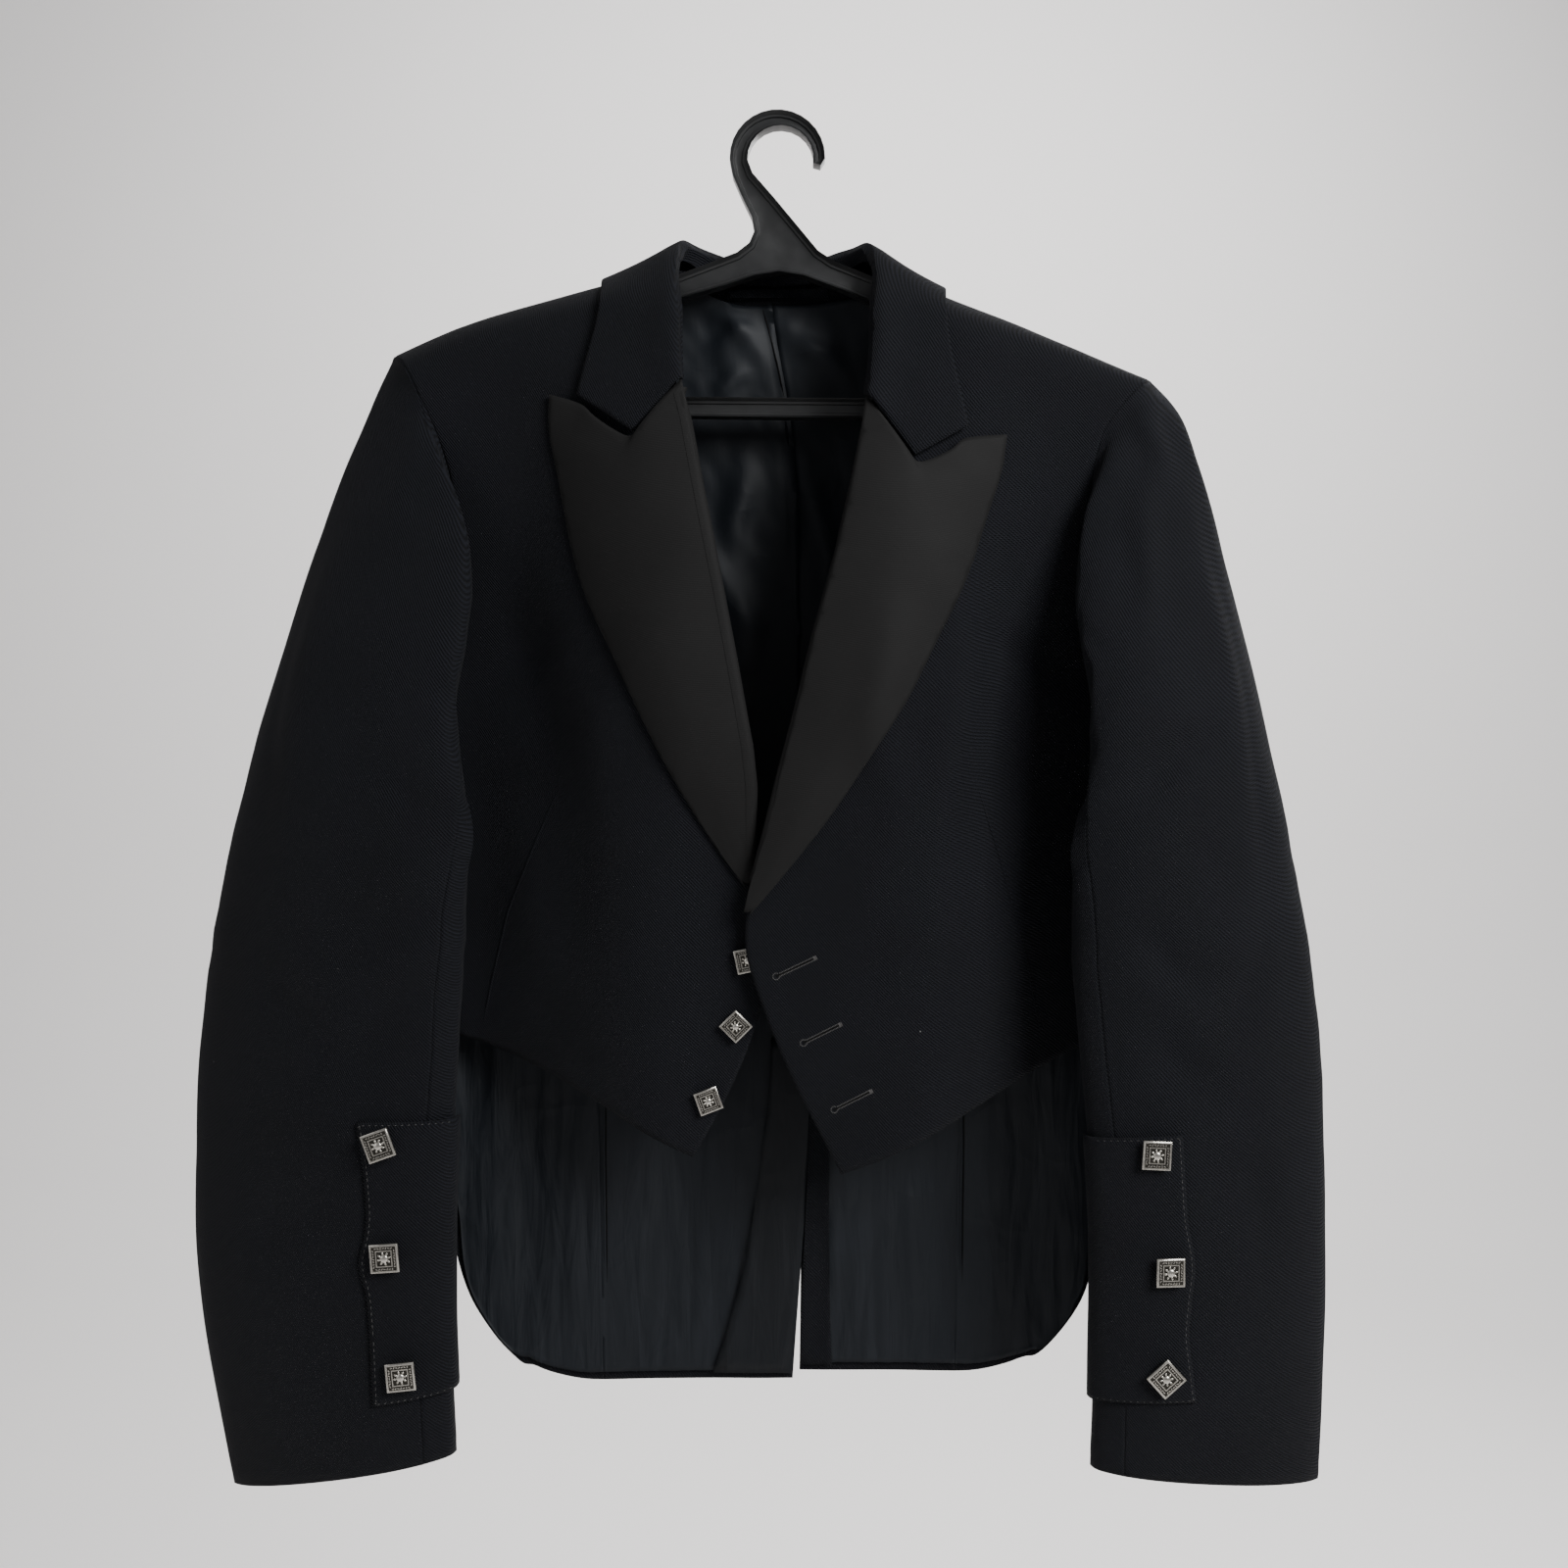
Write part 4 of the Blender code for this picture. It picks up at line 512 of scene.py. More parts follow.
def dress(piece, context):
    """Dresses one cloth solid: smooth, closed up to its seams, and draped."""
    cloth, sewing = context.scene.jacket_cloth, context.scene.jacket_sewing
    bm = copy_solid(piece.node)
    crease = bm.edges.layers.float.new("crease_edge")
    rim = bm.verts.layers.deform.verify()
    sharp = math.radians(60)
    for edge in bm.edges:
        if len(edge.link_faces) == 2 and edge.calc_face_angle() > sharp:
            edge[crease] = 1.0
            for vert in edge.verts:
                vert[rim][0] = 1.0
    for corner in LAPEL_CORNERS.get(piece.node, ()):
        near = sorted(bm.verts, key=lambda v: math.hypot(v.co.x - corner.x, v.co.z - corner.z))
        for vert in near[:2]:
            vert.co.x, vert.co.z = corner
    if piece.node.startswith("vent_facing"):
        raise_facing(bm)
    sharpen_corners(bm, crease)
    moves = {}
    for face in bm.faces:
        lengths = [edge.calc_length() for edge in face.edges]
        if all(0 in vert[rim] for vert in face.verts) and min(lengths) < WALL_EDGE < max(lengths):
            for vert in face.verts:
                moves.setdefault(vert, Vector()).__iadd__(face.normal)
    for vert, move in moves.items():
        if move.length > 0.2:
            vert.co += move.normalized() * sewing.seam_close
    obj = subdivided(piece.node + "_cloth", bm, piece.levels)
    for vert in obj.data.vertices:
        co = vert.co.copy()
        folds = "back" if piece.folds == "lining" else piece.folds
        out = outward(folds, co)
        lift = lift_of(folds, co, out, cloth)
        if any(g.weight > 0.98 for g in vert.groups):
            lift -= sewing.seam_dip
        if piece.folds == "lining":
            lift -= crumple_of(co, cloth) + crease_height(co.x, co.z, LINING_CREASES)
        co += out * lift
        fill_out(piece, co)
        vert.co = co
    finish_piece(obj, piece.finish, 50, [piece.node])
    return obj


def surface_of(*names):
    """What ray casts meet: the dressed pieces of these names."""
    bm = bmesh.new()
    for name in names:
        bm.from_mesh(bpy.data.objects[name].data)
    tree = BVHTree.FromBMesh(bm)
    bm.free()
    return tree


def on_front(tree, x, z, lift=0.0):
    """The point and normal of a surface that the eye meets at x and z."""
    hit, normal, _, _ = tree.ray_cast(Vector((x, -0.5, z)), Vector((0.0, 1.0, 0.0)))
    if hit is None:
        return None
    normal = normal if normal.y < 0 else -normal
    return hit + normal * lift, normal


def facing(origin, ahead, up):
    """A place whose X looks ahead and whose Z looks up."""
    across = up.cross(ahead).normalized()
    ahead = across.cross(up).normalized()
    turned = Matrix((ahead, across, up)).transposed().to_4x4()
    return Matrix.Translation(origin) @ turned


def add_stitch(bm, place, length, thick, detail=1):
    size = Matrix.Diagonal((length / 2, thick / 2, thick / 2, 1.0))
    bmesh.ops.create_icosphere(bm, subdivisions=detail, radius=1.0, matrix=place @ size)


def smooth_chain(points, step):
    """The points of a polyline at equal steps."""
    result = [points[0].copy()]
    left = step
    for a, b in zip(points, points[1:]):
        run = (b - a).length
        while left <= run:
            result.append(a.lerp(b, left / run))
            left += step
        left -= run
    return result


def bead(name, finish, tree, places, radius, sink, sides=8):
    """A thin seam, or a line of painted shade, that lies along places on a surface."""
    rows = 48
    centres = []
    for row in range(rows + 1):
        x, z = along(places, row / rows)
        met = on_front(tree, x, z, -sink)
        if met:
            centres.append(met)
    bm = bmesh.new()
    rings = []
    for i, (centre, normal) in enumerate(centres):
        ahead = centres[min(i + 1, len(centres) - 1)][0] - centres[max(i - 1, 0)][0]
        taper = min(1.0, 0.25 + 6 * min(i, len(centres) - 1 - i) / rows)
        place = facing(centre, normal, ahead.normalized())
        made = bmesh.ops.create_circle(bm, segments=sides, radius=radius * taper, matrix=place, cap_ends=False)
        rings.append(made["verts"])
    for a, b in zip(rings, rings[1:]):
        edges = [
            e for ring in (a, b) for e in {e for v in ring for e in v.link_edges} if all(v in ring for v in e.verts)
        ]
        bmesh.ops.bridge_loops(bm, edges=edges)
    for ring in (rings[0], rings[-1]):
        bmesh.ops.contextual_create(bm, geom=ring)
    bmesh.ops.recalc_face_normals(bm, faces=bm.faces)
    return link(name, bm, finish)


def make_roll(side):
    """The soft roll in which the lapel turns out of the front's edge."""
    lapel, front = surface_of(f"lapel_{side}_cloth"), surface_of(f"front_{side}_cloth")
    sign = SIGNS[side]
    rows, turns = 70, 10
    bm = bmesh.new()
    bmesh.ops.create_grid(bm, x_segments=turns, y_segments=rows, size=0.5)
    for vert in bm.verts:
        u, v = vert.co.x + 0.5, 0.5 - vert.co.y
        x, z = along(ROLL_LINE[side], v)
        top = on_front(lapel, x + sign * 0.0036, z)
        under = on_front(front, x + sign * 0.0050, z)
        outer = (top[0] if top else Vector((x, -0.05, z))) + Vector((0.0, 0.0005, 0.0))
        inner = (under[0] if under else outer) + Vector((0.0, 0.0022, 0.0))
        middle, reach = (outer + inner) / 2, (outer - inner) / 2
        turn = math.pi * u
        swell = max(0.0012, abs(reach.y)) * 1.15
        edge = Vector((-sign * swell * math.sin(turn) ** 0.8, 0.0, 0.0))
        vert.co = middle + reach * math.cos(turn) + edge - Vector((sign * 0.0026 * math.sin(turn), 0.0, 0.0))
    bmesh.ops.recalc_face_normals(bm, faces=bm.faces)
    bmesh.ops.solidify(bm, geom=bm.faces[:], thickness=0.0007)
    return link(f"lapel_roll_{side}", bm, "satin", 70)


def rim_chain(obj, folds):
    """The border of a dressed piece's outer face, in order, with the way out at each point."""
    bm = bmesh.new()
    bm.from_mesh(obj.data)
    border = set()
    for edge in bm.edges:
        if len(edge.link_faces) == 2 and edge.calc_face_angle() > math.radians(50):
            out = outward(folds, (edge.verts[0].co + edge.verts[1].co) / 2)
            if max(face.normal.dot(out) for face in edge.link_faces) > 0.6:
                border.add(edge)
    start = next(iter(sorted(border, key=lambda e: e.index)))
    chain, vert = [start.verts[0]], start.verts[1]
    used = {start}
    while vert is not chain[0]:
        chain.append(vert)
        following = next((e for e in vert.link_edges if e in border and e not in used), None)
        if following is None:
            break
        used.add(following)
        vert = following.other_vert(vert)
    points = [v.co.copy() for v in chain]
    bm.free()
    return points + points[:1]


def stitch_flap(side, context):
    """The line of stitches just inside a cuff flap's edge."""
    sewing = context.scene.jacket_sewing
    flap = bpy.data.objects[f"cuff_flap_{side}_cloth"]
    chain = smooth_chain(rim_chain(flap, "sleeve"), sewing.stitch + sewing.space)
    tree = surface_of(flap.name)
    middle = sum(chain, Vector()) / len(chain)
    fold = min(abs(p.x) for p in chain) + 0.004
    bm = bmesh.new()
    for a, b in zip(chain, chain[1:]):
        here = (a + b) / 2
        if abs(here.x) < fold:
            continue
        ahead = (b - a).normalized()
        out = outward("sleeve", here)
        inward = out.cross(ahead)
        inward = inward if inward.dot(middle - here) > 0 else -inward
        spot = here + inward * sewing.edge
        hit, normal, _, _ = tree.ray_cast(spot + out * 0.02, -out)
        if hit is None:
            continue
        add_stitch(bm, facing(hit + out * 0.00008, ahead, out), sewing.stitch, sewing.thread)
    return link(f"cuff_flap_stitches_{side}", bm, "thread")


def make_buttonhole(index, hole, tree):
    """A keyhole buttonhole: purl stitches round a slit with a round eye, and a near-black strip of painted shade
    along the slit.
    """
    eye, bar = Vector((hole.eye_x, 0, hole.eye_z)), Vector((hole.bar_x, 0, hole.bar_z))
    run = (bar - eye).normalized()
    aside = Vector((-run.z, 0, run.x))
    outline = []
    turns = 16
    for i in range(turns + 1):
        angle = math.radians(mix(25, 335, i / turns))
        outline.append(eye + HOLE_EYE * (run * math.cos(angle) + aside * math.sin(angle)))
    outline += [bar - aside * HOLE_GAP, bar + aside * HOLE_GAP, outline[0].copy()]
    bm = bmesh.new()
    chain = smooth_chain(outline, PURL_STEP)
    for a, b in zip(chain, chain[1:]):
        met = on_front(tree, (a.x + b.x) / 2, (a.z + b.z) / 2, 0.00012)
        if met:
            across = Vector((-(b - a).z, 0, (b - a).x)).normalized()
            add_stitch(bm, facing(met[0], across, met[1]), PURL_LENGTH, PURL_THICK)
    for offset in (-0.0007, 0.0, 0.0007):
        met = on_front(tree, bar.x + run.x * offset, bar.z + run.z * offset, 0.00020)
        if met:
            add_stitch(bm, facing(met[0], aside, met[1]), 0.0034, 0.00062)
    threads = link(f"buttonhole_{index}", bm, "thread")
    # A near-black strip along the slit: painted shade in the cut's opening
    bm = bmesh.new()
    bmesh.ops.create_grid(bm, x_segments=16, y_segments=2, size=0.5)
    for vert in bm.verts:
        spot = eye + (bar - eye) * (vert.co.x + 0.5) + aside * (vert.co.y * 0.0011)
        met = on_front(tree, spot.x, spot.z, 0.00004)
        vert.co = met[0] if met else spot
    bmesh.ops.recalc_face_normals(bm, faces=bm.faces)
    link(f"buttonhole_slit_{index}", bm, "painted_shade_line")
    return threads


def button_place(node):
    """The middle of a button's solid, with X along one of its sides and Z out of its face."""
    mesh = NODES[node].data
    areas = {}
    for face in mesh.polygons:
        key = tuple(round(c, 2) for c in face.normal)
        areas[key] = areas.get(key, 0.0) + face.area
    out = Vector(max((k for k in areas if k[1] < 0), key=lambda k: areas[k])).normalized()
    side = bpy.context.scene.jacket_hardware.side
    runs = []
    for edge in mesh.edges:
        run = mesh.vertices[edge.vertices[0]].co - mesh.vertices[edge.vertices[1]].co
        if abs(run.dot(out)) < 1e-4:
            runs.append((abs(run.length - side), run))
    ahead = min(runs, key=lambda r: r[0])[1]
    place = facing(Vector(), ahead, out)
    local = [place.inverted() @ v.co for v in mesh.vertices]
    low = Vector(min(p[i] for p in local) for i in range(3))
    high = Vector(max(p[i] for p in local) for i in range(3))
    return place @ Matrix.Translation(((low.x + high.x) / 2, (low.y + high.y) / 2, high.z)), high.z - low.z


def make_button(node, context):
    """A square metal button: raised border with small marks, an inner frame and a domed flower."""
    side = context.scene.jacket_hardware.side
    place, depth = button_place(node)
    half, plate = side / 2, 0.0016
    bm = bmesh.new()
    slab = Matrix.Translation((0, 0, -plate / 2 - 0.0006)) @ Matrix.Diagonal((side, side, plate, 1))
    made = bmesh.ops.create_cube(bm, size=1.0, matrix=slab)
    rim_edges = list({e for v in made["verts"] for e in v.link_edges})
    bmesh.ops.bevel(bm, geom=rim_edges, offset=0.00035, segments=2, profile=0.5, affect="EDGES", material=-1)
    top = max(bm.faces, key=lambda f: f.calc_center_median().z)
    for thickness, rise in ((0.0004, 0.0005), (0.0005, 0.0), (0.0003, -0.0005), (0.0016, 0.0), (0.0003, 0.0005),
                            (0.0005, 0.0), (0.0003, -0.0006)):
        bmesh.ops.inset_individual(bm, faces=[top], thickness=thickness, depth=rise, use_even_offset=True)
    band = half - 0.0022
    for turn in range(4):
        spin = Matrix.Rotation(math.radians(90 * turn), 4, "Z")
        for i in range(7):
            at = mix(-0.76, 0.76, i / 6) * band
            tilt = Matrix.Rotation(math.radians((25, -30, 90, 10, 60, -15, 40)[(i + turn) % 7]), 4, "Z")
            mark = Matrix.Translation((at, band, -0.00045)) @ tilt @ Matrix.Diagonal((0.00120, 0.00052, 0.0007, 1))
            bmesh.ops.create_cube(bm, size=1.0, matrix=spin @ mark)
    dome = Matrix.Translation((0, 0, -0.0005)) @ Matrix.Diagonal((0.0023, 0.0023, 0.0011, 1))
    bmesh.ops.create_icosphere(bm, subdivisions=3, radius=1.0, matrix=dome)
    for i in range(8):
        spin = Matrix.Rotation(math.radians(45 * i + 12), 4, "Z")
        petal = Matrix.Translation((0.0029, 0, -0.0006)) @ Matrix.Diagonal((0.0011, 0.00066, 0.0006, 1))
        bmesh.ops.create_icosphere(bm, subdivisions=2, radius=1.0, matrix=spin @ petal)
    reach = depth + 0.0010
    bmesh.ops.create_cone(
        bm, cap_ends=True, segments=20, radius1=0.0022, radius2=0.0018, depth=reach - plate,
        matrix=Matrix.Translation((0, 0, -(reach + plate) / 2)),
    )
    height = bm.verts.layers.float.new("height")
    for vert in bm.verts:
        outer = max(abs(vert.co.x), abs(vert.co.y)) > half - 0.0004
        vert[height] = 0.75 if outer else ramp(vert.co.z, -0.00062, -0.00015)
    share = FRONT_SHARE if node in FRONT_BUTTONS else 1.0
    bmesh.ops.transform(bm, matrix=place @ Matrix.Diagonal((share, share, 1, 1)), verts=bm.verts)
    return link(node + "_metal", bm, "old_silver", 35, [node])


def make_hanger(context):
    """The hanger's own form with raised rims on both faces and its moulded edges rounded."""
    bm = bmesh.new()
    bm.from_mesh(NODES["hanger"].data)
    bmesh.ops.remove_doubles(bm, verts=bm.verts, dist=2e-5)
    bmesh.ops.dissolve_limit(
        bm, angle_limit=math.radians(1), verts=bm.verts, edges=bm.edges, use_dissolve_boundaries=False
    )
    hardware = context.scene.jacket_hardware
    for way in (-1, 1):
        broad = [f for f in bm.faces if f.normal.y * way > 0.95 and f.calc_area() > 2e-4]
        bmesh.ops.inset_region(bm, faces=broad, thickness=hardware.rim, depth=0.0, use_even_offset=True)
        bmesh.ops.inset_region(bm, faces=broad, thickness=0.0004, depth=-hardware.rim_height, use_even_offset=True)
    edges = [e for e in bm.edges if len(e.link_faces) == 2 and e.calc_face_angle() > math.radians(32)]
    bmesh.ops.bevel(
        bm, geom=edges, offset=hardware.edge, segments=3, profile=0.5, affect="EDGES",
        material=-1, clamp_overlap=True,
    )
    bmesh.ops.triangulate(bm, faces=[f for f in bm.faces if len(f.verts) > 4])
    return link("hanger_moulding", bm, "black_plastic", 40, ["hanger"])


def new_material(name):
    material = bpy.data.materials.new("dressed_" + name)
    material.use_nodes = True
    tree = material.node_tree
    return material, tree, tree.nodes["Principled BSDF"]


def node(tree, kind, **settings):
    made = tree.nodes.new(kind)
    for key, value in settings.items():
        if key in made.inputs:
            made.inputs[key].default_value = value
        else:
            setattr(made, key, value)
    return made


def bands(tree, coordinates, pitch, turn):
    """Straight woven lines of one pitch, turned so that they cross the fronts and the sides of a form."""
    mapping = tree.nodes.new("ShaderNodeMapping")
    mapping.inputs["Rotation"].default_value = (0.0, math.radians(turn), math.radians(38))
    tree.links.new(coordinates, mapping.inputs["Vector"])
    wave = node(tree, "ShaderNodeTexWave", Scale=2 * math.pi / (20 * pitch), Distortion=0.6, Detail=1.0)
    wave.bands_direction = "X"
    wave.inputs["Detail Scale"].default_value = 0.4
    tree.links.new(mapping.outputs["Vector"], wave.inputs["Vector"])
    return wave.outputs["Fac"]


def combine(tree, operation, a, b):
    made = node(tree, "ShaderNodeMath", operation=operation)
    for socket, value in zip(made.inputs, (a, b)):
        if isinstance(value, (int, float)):
            socket.default_value = value
        else:
            tree.links.new(value, socket)
    return made.outputs[0]


def bump(tree, shader, height, strength, distance):
    made = node(tree, "ShaderNodeBump", Strength=strength, Distance=distance)
    tree.links.new(height, made.inputs["Height"])
    tree.links.new(made.outputs["Normal"], shader.inputs["Normal"])


def two_tone(tree, shader, factor, dark, light):
    """Base colour between two tones."""
    tones = tree.nodes.new("ShaderNodeMix")
    tones.data_type = "RGBA"
    tones.inputs["A"].default_value = (*dark, 1)
    tones.inputs["B"].default_value = (*light, 1)
    tree.links.new(factor, tones.inputs["Factor"])
    tree.links.new(tones.outputs["Result"], shader.inputs["Base Color"])
    return tones


def scaled(colour, share):
    return tuple(c * share for c in colour)


def make_wool(cloth):
    """Worsted twill: a fine diagonal rib, a soft nap, and a little lint."""
    material, tree, shader = new_material("wool")
    place = tree.nodes.new("ShaderNodeTexCoord").outputs["Object"]
    rib = bands(tree, place, cloth.weave, 38)
    cross = bands(tree, place, cloth.weave * 0.8, -64)
    cloud = node(tree, "ShaderNodeTexNoise", Scale=16.0, Detail=4.0)
    fuzz = node(tree, "ShaderNodeTexNoise", Scale=900.0, Detail=2.0)
    lint = node(tree, "ShaderNodeTexVoronoi", Scale=62.0)
    for texture in (cloud, fuzz, lint):
        tree.links.new(place, texture.inputs["Vector"])
    speck = combine(tree, "LESS_THAN", lint.outputs["Distance"], 0.022)
    chosen = tree.nodes.new("ShaderNodeSeparateColor")
    tree.links.new(lint.outputs["Color"], chosen.inputs["Color"])
    few = combine(tree, "GREATER_THAN", chosen.outputs["Red"], 0.90)
    shade = combine(tree, "MULTIPLY", combine(tree, "ADD", cloud.outputs["Fac"], 0.5), rib)
    tones = two_tone(tree, shader, shade, scaled(cloth.wool, 0.50), scaled(cloth.wool, 2.0))
    linted = tree.nodes.new("ShaderNodeMix")
    linted.data_type = "RGBA"
    linted.inputs["B"].default_value = (0.16, 0.16, 0.16, 1)
    tree.links.new(combine(tree, "MULTIPLY", speck, few), linted.inputs["Factor"])
    tree.links.new(tones.outputs["Result"], linted.inputs["A"])
    tree.links.new(linted.outputs["Result"], shader.inputs["Base Color"])
    weave = combine(tree, "ADD", combine(tree, "MULTIPLY", cross, 0.5), rib)
    bump(tree, shader, combine(tree, "ADD", weave, fuzz.outputs["Fac"]), 1.0, 0.0004)
    shader.inputs["Roughness"].default_value = 0.78
    shader.inputs["Specular IOR Level"].default_value = 0.13
    shader.inputs["Sheen Weight"].default_value = 0.016
    shader.inputs["Sheen Roughness"].default_value = 0.45
    return material


def make_satin(cloth):
    """Matt satin of the lapels, with a faint cross rib."""
    material, tree, shader = new_material("satin")
    place = tree.nodes.new("ShaderNodeTexCoord").outputs["Object"]
    rib = bands(tree, place, 0.0009, 84)
    cloud = node(tree, "ShaderNodeTexNoise", Scale=22.0, Detail=5.0)
    tree.links.new(place, cloud.inputs["Vector"])
    two_tone(tree, shader, cloud.outputs["Fac"], scaled(cloth.satin, 0.82), scaled(cloth.satin, 1.2))
    soft = combine(tree, "ADD", combine(tree, "MULTIPLY", cloud.outputs["Fac"], 2.0), rib)
    bump(tree, shader, soft, 0.16, 0.0002)
    shader.inputs["Roughness"].default_value = 0.74
    shader.inputs["Specular IOR Level"].default_value = 0.15
    shader.inputs["Sheen Weight"].default_value = 0.02
    shader.inputs["Sheen Roughness"].default_value = 0.35
    return material


def make_lining(name, colour):
    """Thin lining satin, crinkled down its length."""
    material, tree, shader = new_material(name)
    place = tree.nodes.new("ShaderNodeTexCoord").outputs["Object"]
    stretch = tree.nodes.new("ShaderNodeMapping")
    stretch.inputs["Scale"].default_value = (90.0, 90.0, 15.0)
    tree.links.new(place, stretch.inputs["Vector"])
    crinkle = node(tree, "ShaderNodeTexNoise", Scale=1.0, Detail=3.0, Distortion=0.6)
    tree.links.new(stretch.outputs["Vector"], crinkle.inputs["Vector"])
    cloud = node(tree, "ShaderNodeTexNoise", Scale=30.0, Detail=3.0)
    tree.links.new(place, cloud.inputs["Vector"])
    two_tone(tree, shader, cloud.outputs["Fac"], scaled(colour, 0.8), scaled(colour, 1.25))
    heights = tree.nodes.new("ShaderNodeSeparateXYZ")
    tree.links.new(place, heights.inputs["Vector"])
    tails = node(tree, "ShaderNodeMapRange")
    for key, value in (("From Min", -0.40), ("From Max", -0.54), ("To Min", 0.10), ("To Max", 1.0)):
        tails.inputs[key].default_value = value
    tree.links.new(heights.outputs["Z"], tails.inputs["Value"])
    folds = node(tree, "ShaderNodeTexNoise", Scale=30.0, Detail=1.0, Distortion=0.6)
    tree.links.new(place, folds.inputs["Vector"])
    ridges = combine(tree, "ABSOLUTE", combine(tree, "SUBTRACT", folds.outputs["Fac"], 0.5), 0.0)
    crinkled = combine(tree, "MULTIPLY", crinkle.outputs["Fac"], tails.outputs["Result"])
    bump(tree, shader, combine(tree, "ADD", crinkled, combine(tree, "MULTIPLY", ridges, -0.8)), 1.0, 0.0018)
    shader.inputs["Roughness"].default_value = 0.58
    shader.inputs["Specular IOR Level"].default_value = 0.22
    return material


def make_thread(name, colour):
    material, tree, shader = new_material(name)
    place = tree.nodes.new("ShaderNodeTexCoord").outputs["Object"]
    twist = node(tree, "ShaderNodeTexNoise", Scale=2600.0, Detail=2.0)
    tree.links.new(place, twist.inputs["Vector"])
    two_tone(tree, shader, twist.outputs["Fac"], scaled(colour, 0.6), scaled(colour, 1.5))
    bump(tree, shader, twist.outputs["Fac"], 0.4, 0.0001)
    shader.inputs["Roughness"].default_value = 0.7
    shader.inputs["Specular IOR Level"].default_value = 0.12
    return material


def make_silver(hardware):
    """Worn metal, bright on its ridges and dark in its hollows."""
    material, tree, shader = new_material("old_silver")
    place = tree.nodes.new("ShaderNodeTexCoord").outputs["Object"]
    height = node(tree, "ShaderNodeAttribute", attribute_name="height")
    grime = node(tree, "ShaderNodeTexNoise", Scale=700.0, Detail=4.0)
    tree.links.new(place, grime.inputs["Vector"])
    worn = combine(tree, "MULTIPLY", height.outputs["Fac"], combine(tree, "ADD", grime.outputs["Fac"], 0.45))
    worn = combine(tree, "MINIMUM", worn, 1.0)
    two_tone(tree, shader, worn, tuple(hardware.patina), tuple(hardware.silver))
    rough = node(tree, "ShaderNodeMapRange")
    rough.inputs["To Min"].default_value = 0.42
    rough.inputs["To Max"].default_value = 0.24
    tree.links.new(worn, rough.inputs["Value"])
    tree.links.new(rough.outputs["Result"], shader.inputs["Roughness"])
    bump(tree, shader, grime.outputs["Fac"], 0.25, 0.0001)
    shader.inputs["Metallic"].default_value = 1.0
    return material


def make_plastic(hardware):
    """Black moulded plastic, a little dusty and rubbed."""
    material, tree, shader = new_material("black_plastic")
    place = tree.nodes.new("ShaderNodeTexCoord").outputs["Object"]
    dust = node(tree, "ShaderNodeTexNoise", Scale=120.0, Detail=6.0)
    grain = node(tree, "ShaderNodeTexNoise", Scale=1500.0, Detail=2.0)
    for texture in (dust, grain):
        tree.links.new(place, texture.inputs["Vector"])
    two_tone(tree, shader, dust.outputs["Fac"], scaled(hardware.plastic, 0.8), scaled(hardware.plastic, 1.6))
    rough = node(tree, "ShaderNodeMapRange")
    rough.inputs["To Min"].default_value = 0.28
    rough.inputs["To Max"].default_value = 0.42
    tree.links.new(dust.outputs["Fac"], rough.inputs["Value"])
    tree.links.new(rough.outputs["Result"], shader.inputs["Roughness"])
    bump(tree, shader, grain.outputs["Fac"], 0.12, 0.0001)
    shader.inputs["Specular IOR Level"].default_value = 0.45
    return material


class JACKET_OT_finishes(bpy.types.Operator):
    """Mix the cloths, the thread, the painted shade, the metal and the plastic"""

    bl_idname = "jacket.finishes"
    bl_label = "Finishes"

    def execute(self, context):
        cloth = context.scene.jacket_cloth
        hardware = context.scene.jacket_hardware
        make_wool(cloth)
        make_satin(cloth)
        make_lining("lining", tuple(cloth.lining))
        make_lining("facing", scaled(cloth.lining, 0.6))
        make_thread("thread", tuple(context.scene.jacket_sewing.colour))
        # A near-black thread finish that paints shade: in the buttonholes' slits, down the lining's pleat and beside
        # its seams
        make_thread("painted_shade_line", (0.0015, 0.0015, 0.0015))
        make_silver(hardware)
        make_plastic(hardware)
        return {"FINISHED"}


class JACKET_OT_panels(bpy.types.Operator):
    """Dress the fronts, the backs and the side bodies"""

    bl_idname = "jacket.panels"
    bl_label = "Panels"

    def execute(self, context):
        for piece in PANELS:
            dress(piece, context)
        return {"FINISHED"}


class JACKET_OT_sleeves(bpy.types.Operator):
    """Dress the sleeves and their cuff flaps"""

    bl_idname = "jacket.sleeves"
    bl_label = "Sleeves"

    def execute(self, context):
        for piece in SLEEVES:
            dress(piece, context)
        for side in SIGNS:
            stitch_flap(side, context)
        return {"FINISHED"}


class JACKET_OT_neckwear(bpy.types.Operator):
    """Dress the collar and the lapels, and roll the lapels out of the fronts"""

    bl_idname = "jacket.neckwear"
    bl_label = "Collar and Lapels"

    def execute(self, context):
        for piece in NECKWEAR:
            dress(piece, context)
        for side in SIGNS:
            make_roll(side)
        return {"FINISHED"}


class JACKET_OT_linings(bpy.types.Operator):
    """Dress the lining, the facings and the hanging loop"""

    bl_idname = "jacket.linings"
    bl_label = "Linings"

    def execute(self, context):
        strips = [dress(Piece(name, "wool", 2, "collar", None), context) for name in NECK_STRIPS]
        for piece in LININGS:
            dress(piece, context)
        return {"FINISHED"}


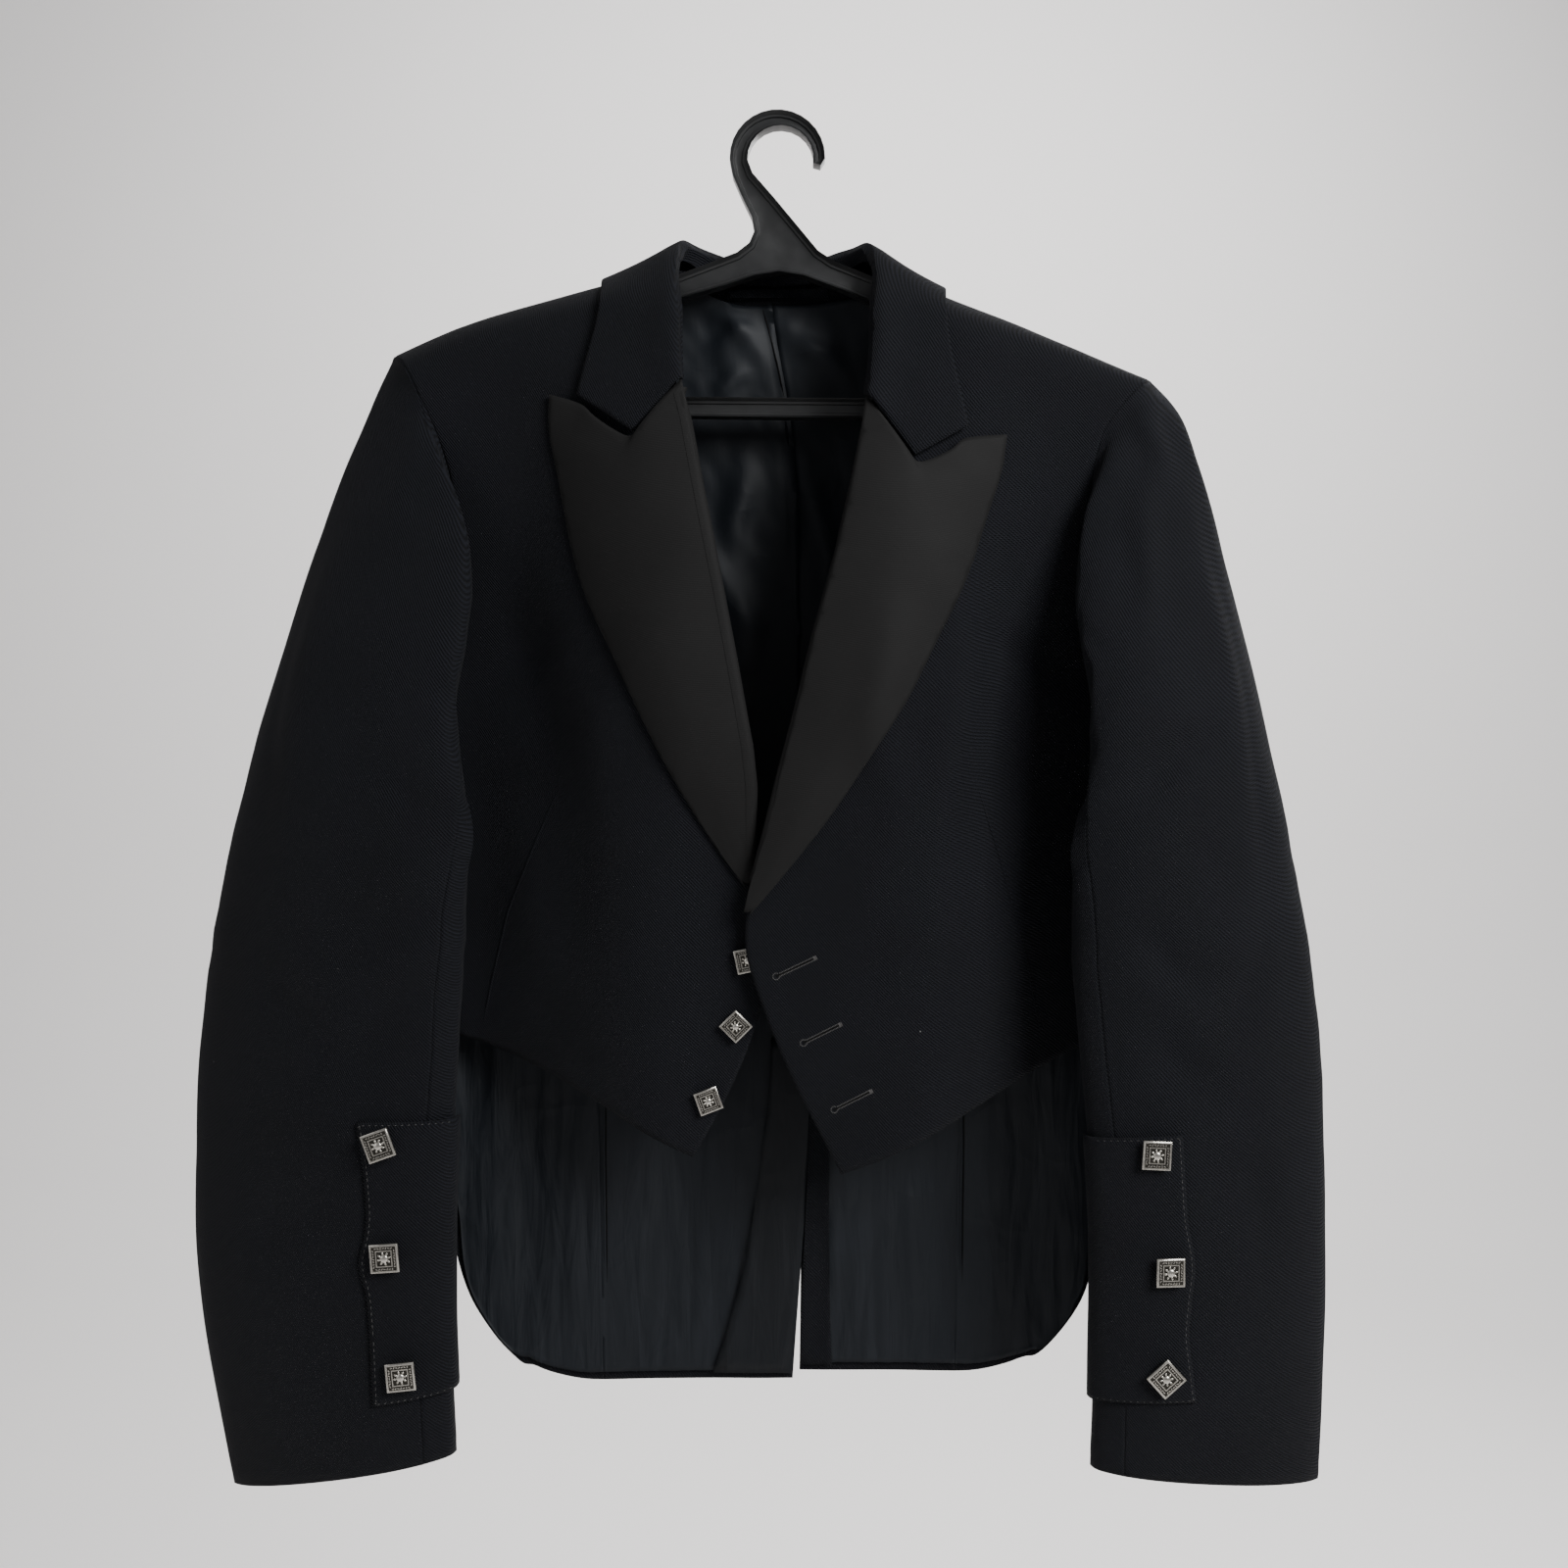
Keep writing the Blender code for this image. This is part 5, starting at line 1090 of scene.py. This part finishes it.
class JACKET_OT_sewing(bpy.types.Operator):
    """Sew the darts, the lining's seams and the buttonholes, and paint shade lines beside the seams and down the
    pleat
    """

    bl_idname = "jacket.sewing"
    bl_label = "Sewing"

    def execute(self, context):
        for side in SIGNS:
            bead(f"dart_{side}", "wool", surface_of(f"front_{side}_cloth"), DARTS[side], 0.0009, 0.0004)
            lining = surface_of(f"lining_back_{side}_cloth", f"lining_side_{side}_cloth")
            bead(f"lining_seam_{side}", "lining", lining, LINING_SEAMS[side], 0.0009, 0.0002)
            # A near-black line just beside each lining seam: painted shade along the seam
            beside = [Place(place.x + 0.0012, place.z) for place in LINING_SEAMS[side]]
            bead(f"lining_seam_shade_{side}", "painted_shade_line", lining, beside, 0.0005, 0.0001)
        # A near-black line down the lining's pleat: painted shade in its fold
        lining = surface_of("lining_back_left_cloth", "lining_back_right_cloth")
        bead("lining_pleat", "painted_shade_line", lining, LINING_PLEAT, 0.0005, 0.0001)
        tree = surface_of("front_left_cloth")
        for index, hole in enumerate(BUTTONHOLES, 1):
            make_buttonhole(index, hole, tree)
        return {"FINISHED"}


class JACKET_OT_buttons(bpy.types.Operator):
    """Cast the square metal buttons"""

    bl_idname = "jacket.buttons"
    bl_label = "Buttons"

    def execute(self, context):
        for name in FRONT_BUTTONS + CUFF_BUTTONS:
            make_button(name, context)
        return {"FINISHED"}


class JACKET_OT_hanger(bpy.types.Operator):
    """Mould the hanger"""

    bl_idname = "jacket.hanger"
    bl_label = "Hanger"

    def execute(self, context):
        make_hanger(context)
        return {"FINISHED"}


class JACKET_OT_stage(bpy.types.Operator):
    """Set the pale floor, the soft lights and the camera"""

    bl_idname = "jacket.stage"
    bl_label = "Stage"

    def execute(self, context):
        stage = context.scene.jacket_stage
        scene = context.scene
        bm = bmesh.new()
        bmesh.ops.create_grid(bm, x_segments=2, y_segments=60, size=0.5)
        for vert in bm.verts:
            run = (vert.co.y + 0.5) * BACKDROP_LENGTH
            quarter = TURN_RADIUS * math.pi / 2
            bend = min(1.0, max(0.0, (run - FLOOR_RUN) / quarter)) * math.pi / 2
            y = min(run, FLOOR_RUN) + TURN_RADIUS * math.sin(bend)
            z = TURN_RADIUS * (1 - math.cos(bend)) + max(0.0, run - FLOOR_RUN - quarter)
            vert.co = Vector((vert.co.x * BACKDROP_WIDTH, y + FLOOR_START, stage.floor + z))
        floor, tree, shader = new_material("pale_floor")
        shader.inputs["Base Color"].default_value = (*stage.pale, 1)
        shader.inputs["Roughness"].default_value = 0.9
        mesh = bpy.data.meshes.new("floor")
        bm.to_mesh(mesh)
        bm.free()
        ground = bpy.data.objects.new("floor", mesh)
        mesh.materials.append(floor)
        mesh.polygons.foreach_set("use_smooth", [True] * len(mesh.polygons))
        scene.collection.objects.link(ground)
        world = bpy.data.worlds.new("studio")
        world.use_nodes = True
        world.node_tree.nodes["Background"].inputs["Color"].default_value = (0.86, 0.86, 0.88, 1)
        world.node_tree.nodes["Background"].inputs["Strength"].default_value = stage.sky
        scene.world = world
        middle = Vector((0.0, 0.0, -0.40))
        for name, spot, size, power in (
            ("key", (1.5, -1.5, 0.75), 1.1, stage.key),
            ("fill", (-1.9, -1.3, -0.1), 1.6, stage.fill),
            ("back", (1.2, 1.9, 0.7), 1.5, stage.fill * 4.0),
        ):
            light = bpy.data.objects.new(name, bpy.data.lights.new(name, "AREA"))
            light.data.size = size
            light.data.energy = power
            light.location = spot
            light.visible_camera = False
            light.rotation_euler = (middle - light.location).to_track_quat("-Z", "Y").to_euler()
            scene.collection.objects.link(light)
        wash = bpy.data.objects.new("wash", bpy.data.lights.new("wash", "AREA"))
        wash.data.size = 3.0
        wash.data.energy = stage.wash
        wash.visible_camera = False
        wash.location = (0.4, 1.5, 1.6)
        wash.rotation_euler = (Vector((0.0, 4.0, -0.6)) - wash.location).to_track_quat("-Z", "Y").to_euler()
        scene.collection.objects.link(wash)
        camera = bpy.data.objects.new("camera", bpy.data.cameras.new("camera"))
        camera.data.sensor_width = camera.data.lens = 36.0
        camera.location = CAMERA_SPOT
        camera.rotation_euler = (math.radians(90), 0.0, 0.0)
        scene.collection.objects.link(camera)
        scene.camera = camera
        return {"FINISHED"}


OPERATORS = (
    JACKET_OT_finishes, JACKET_OT_panels, JACKET_OT_sleeves, JACKET_OT_neckwear, JACKET_OT_linings,
    JACKET_OT_sewing, JACKET_OT_buttons, JACKET_OT_hanger, JACKET_OT_stage,
)
GROUPS = {
    "jacket_cloth": JacketCloth, "jacket_sewing": JacketSewing,
    "jacket_hardware": JacketHardware, "jacket_stage": JacketStage,
}


class JACKET_PT_panel(bpy.types.Panel):
    """The jacket's sizes, colours and pieces"""

    bl_label = "Prince Charlie Jacket"
    bl_idname = "JACKET_PT_panel"
    bl_space_type = "VIEW_3D"
    bl_region_type = "UI"
    bl_category = "Jacket"

    def draw(self, context):
        for name, group in GROUPS.items():
            box = self.layout.box()
            for key in group.__annotations__:
                box.prop(getattr(context.scene, name), key)
        for operator in OPERATORS:
            self.layout.operator(operator.bl_idname)


def register():
    for cls in (*GROUPS.values(), *OPERATORS, JACKET_PT_panel):
        bpy.utils.register_class(cls)
    for name, group in GROUPS.items():
        setattr(bpy.types.Scene, name, PointerProperty(type=group))


def unregister():
    for name in GROUPS:
        delattr(bpy.types.Scene, name)
    for cls in reversed((*GROUPS.values(), *OPERATORS, JACKET_PT_panel)):
        bpy.utils.unregister_class(cls)


def main():
    register()
    for operator in OPERATORS:
        group, name = operator.bl_idname.split(".")
        getattr(getattr(bpy.ops, group), name)()
    bpy.context.view_layer.update()


if __name__ == "__main__":
    main()
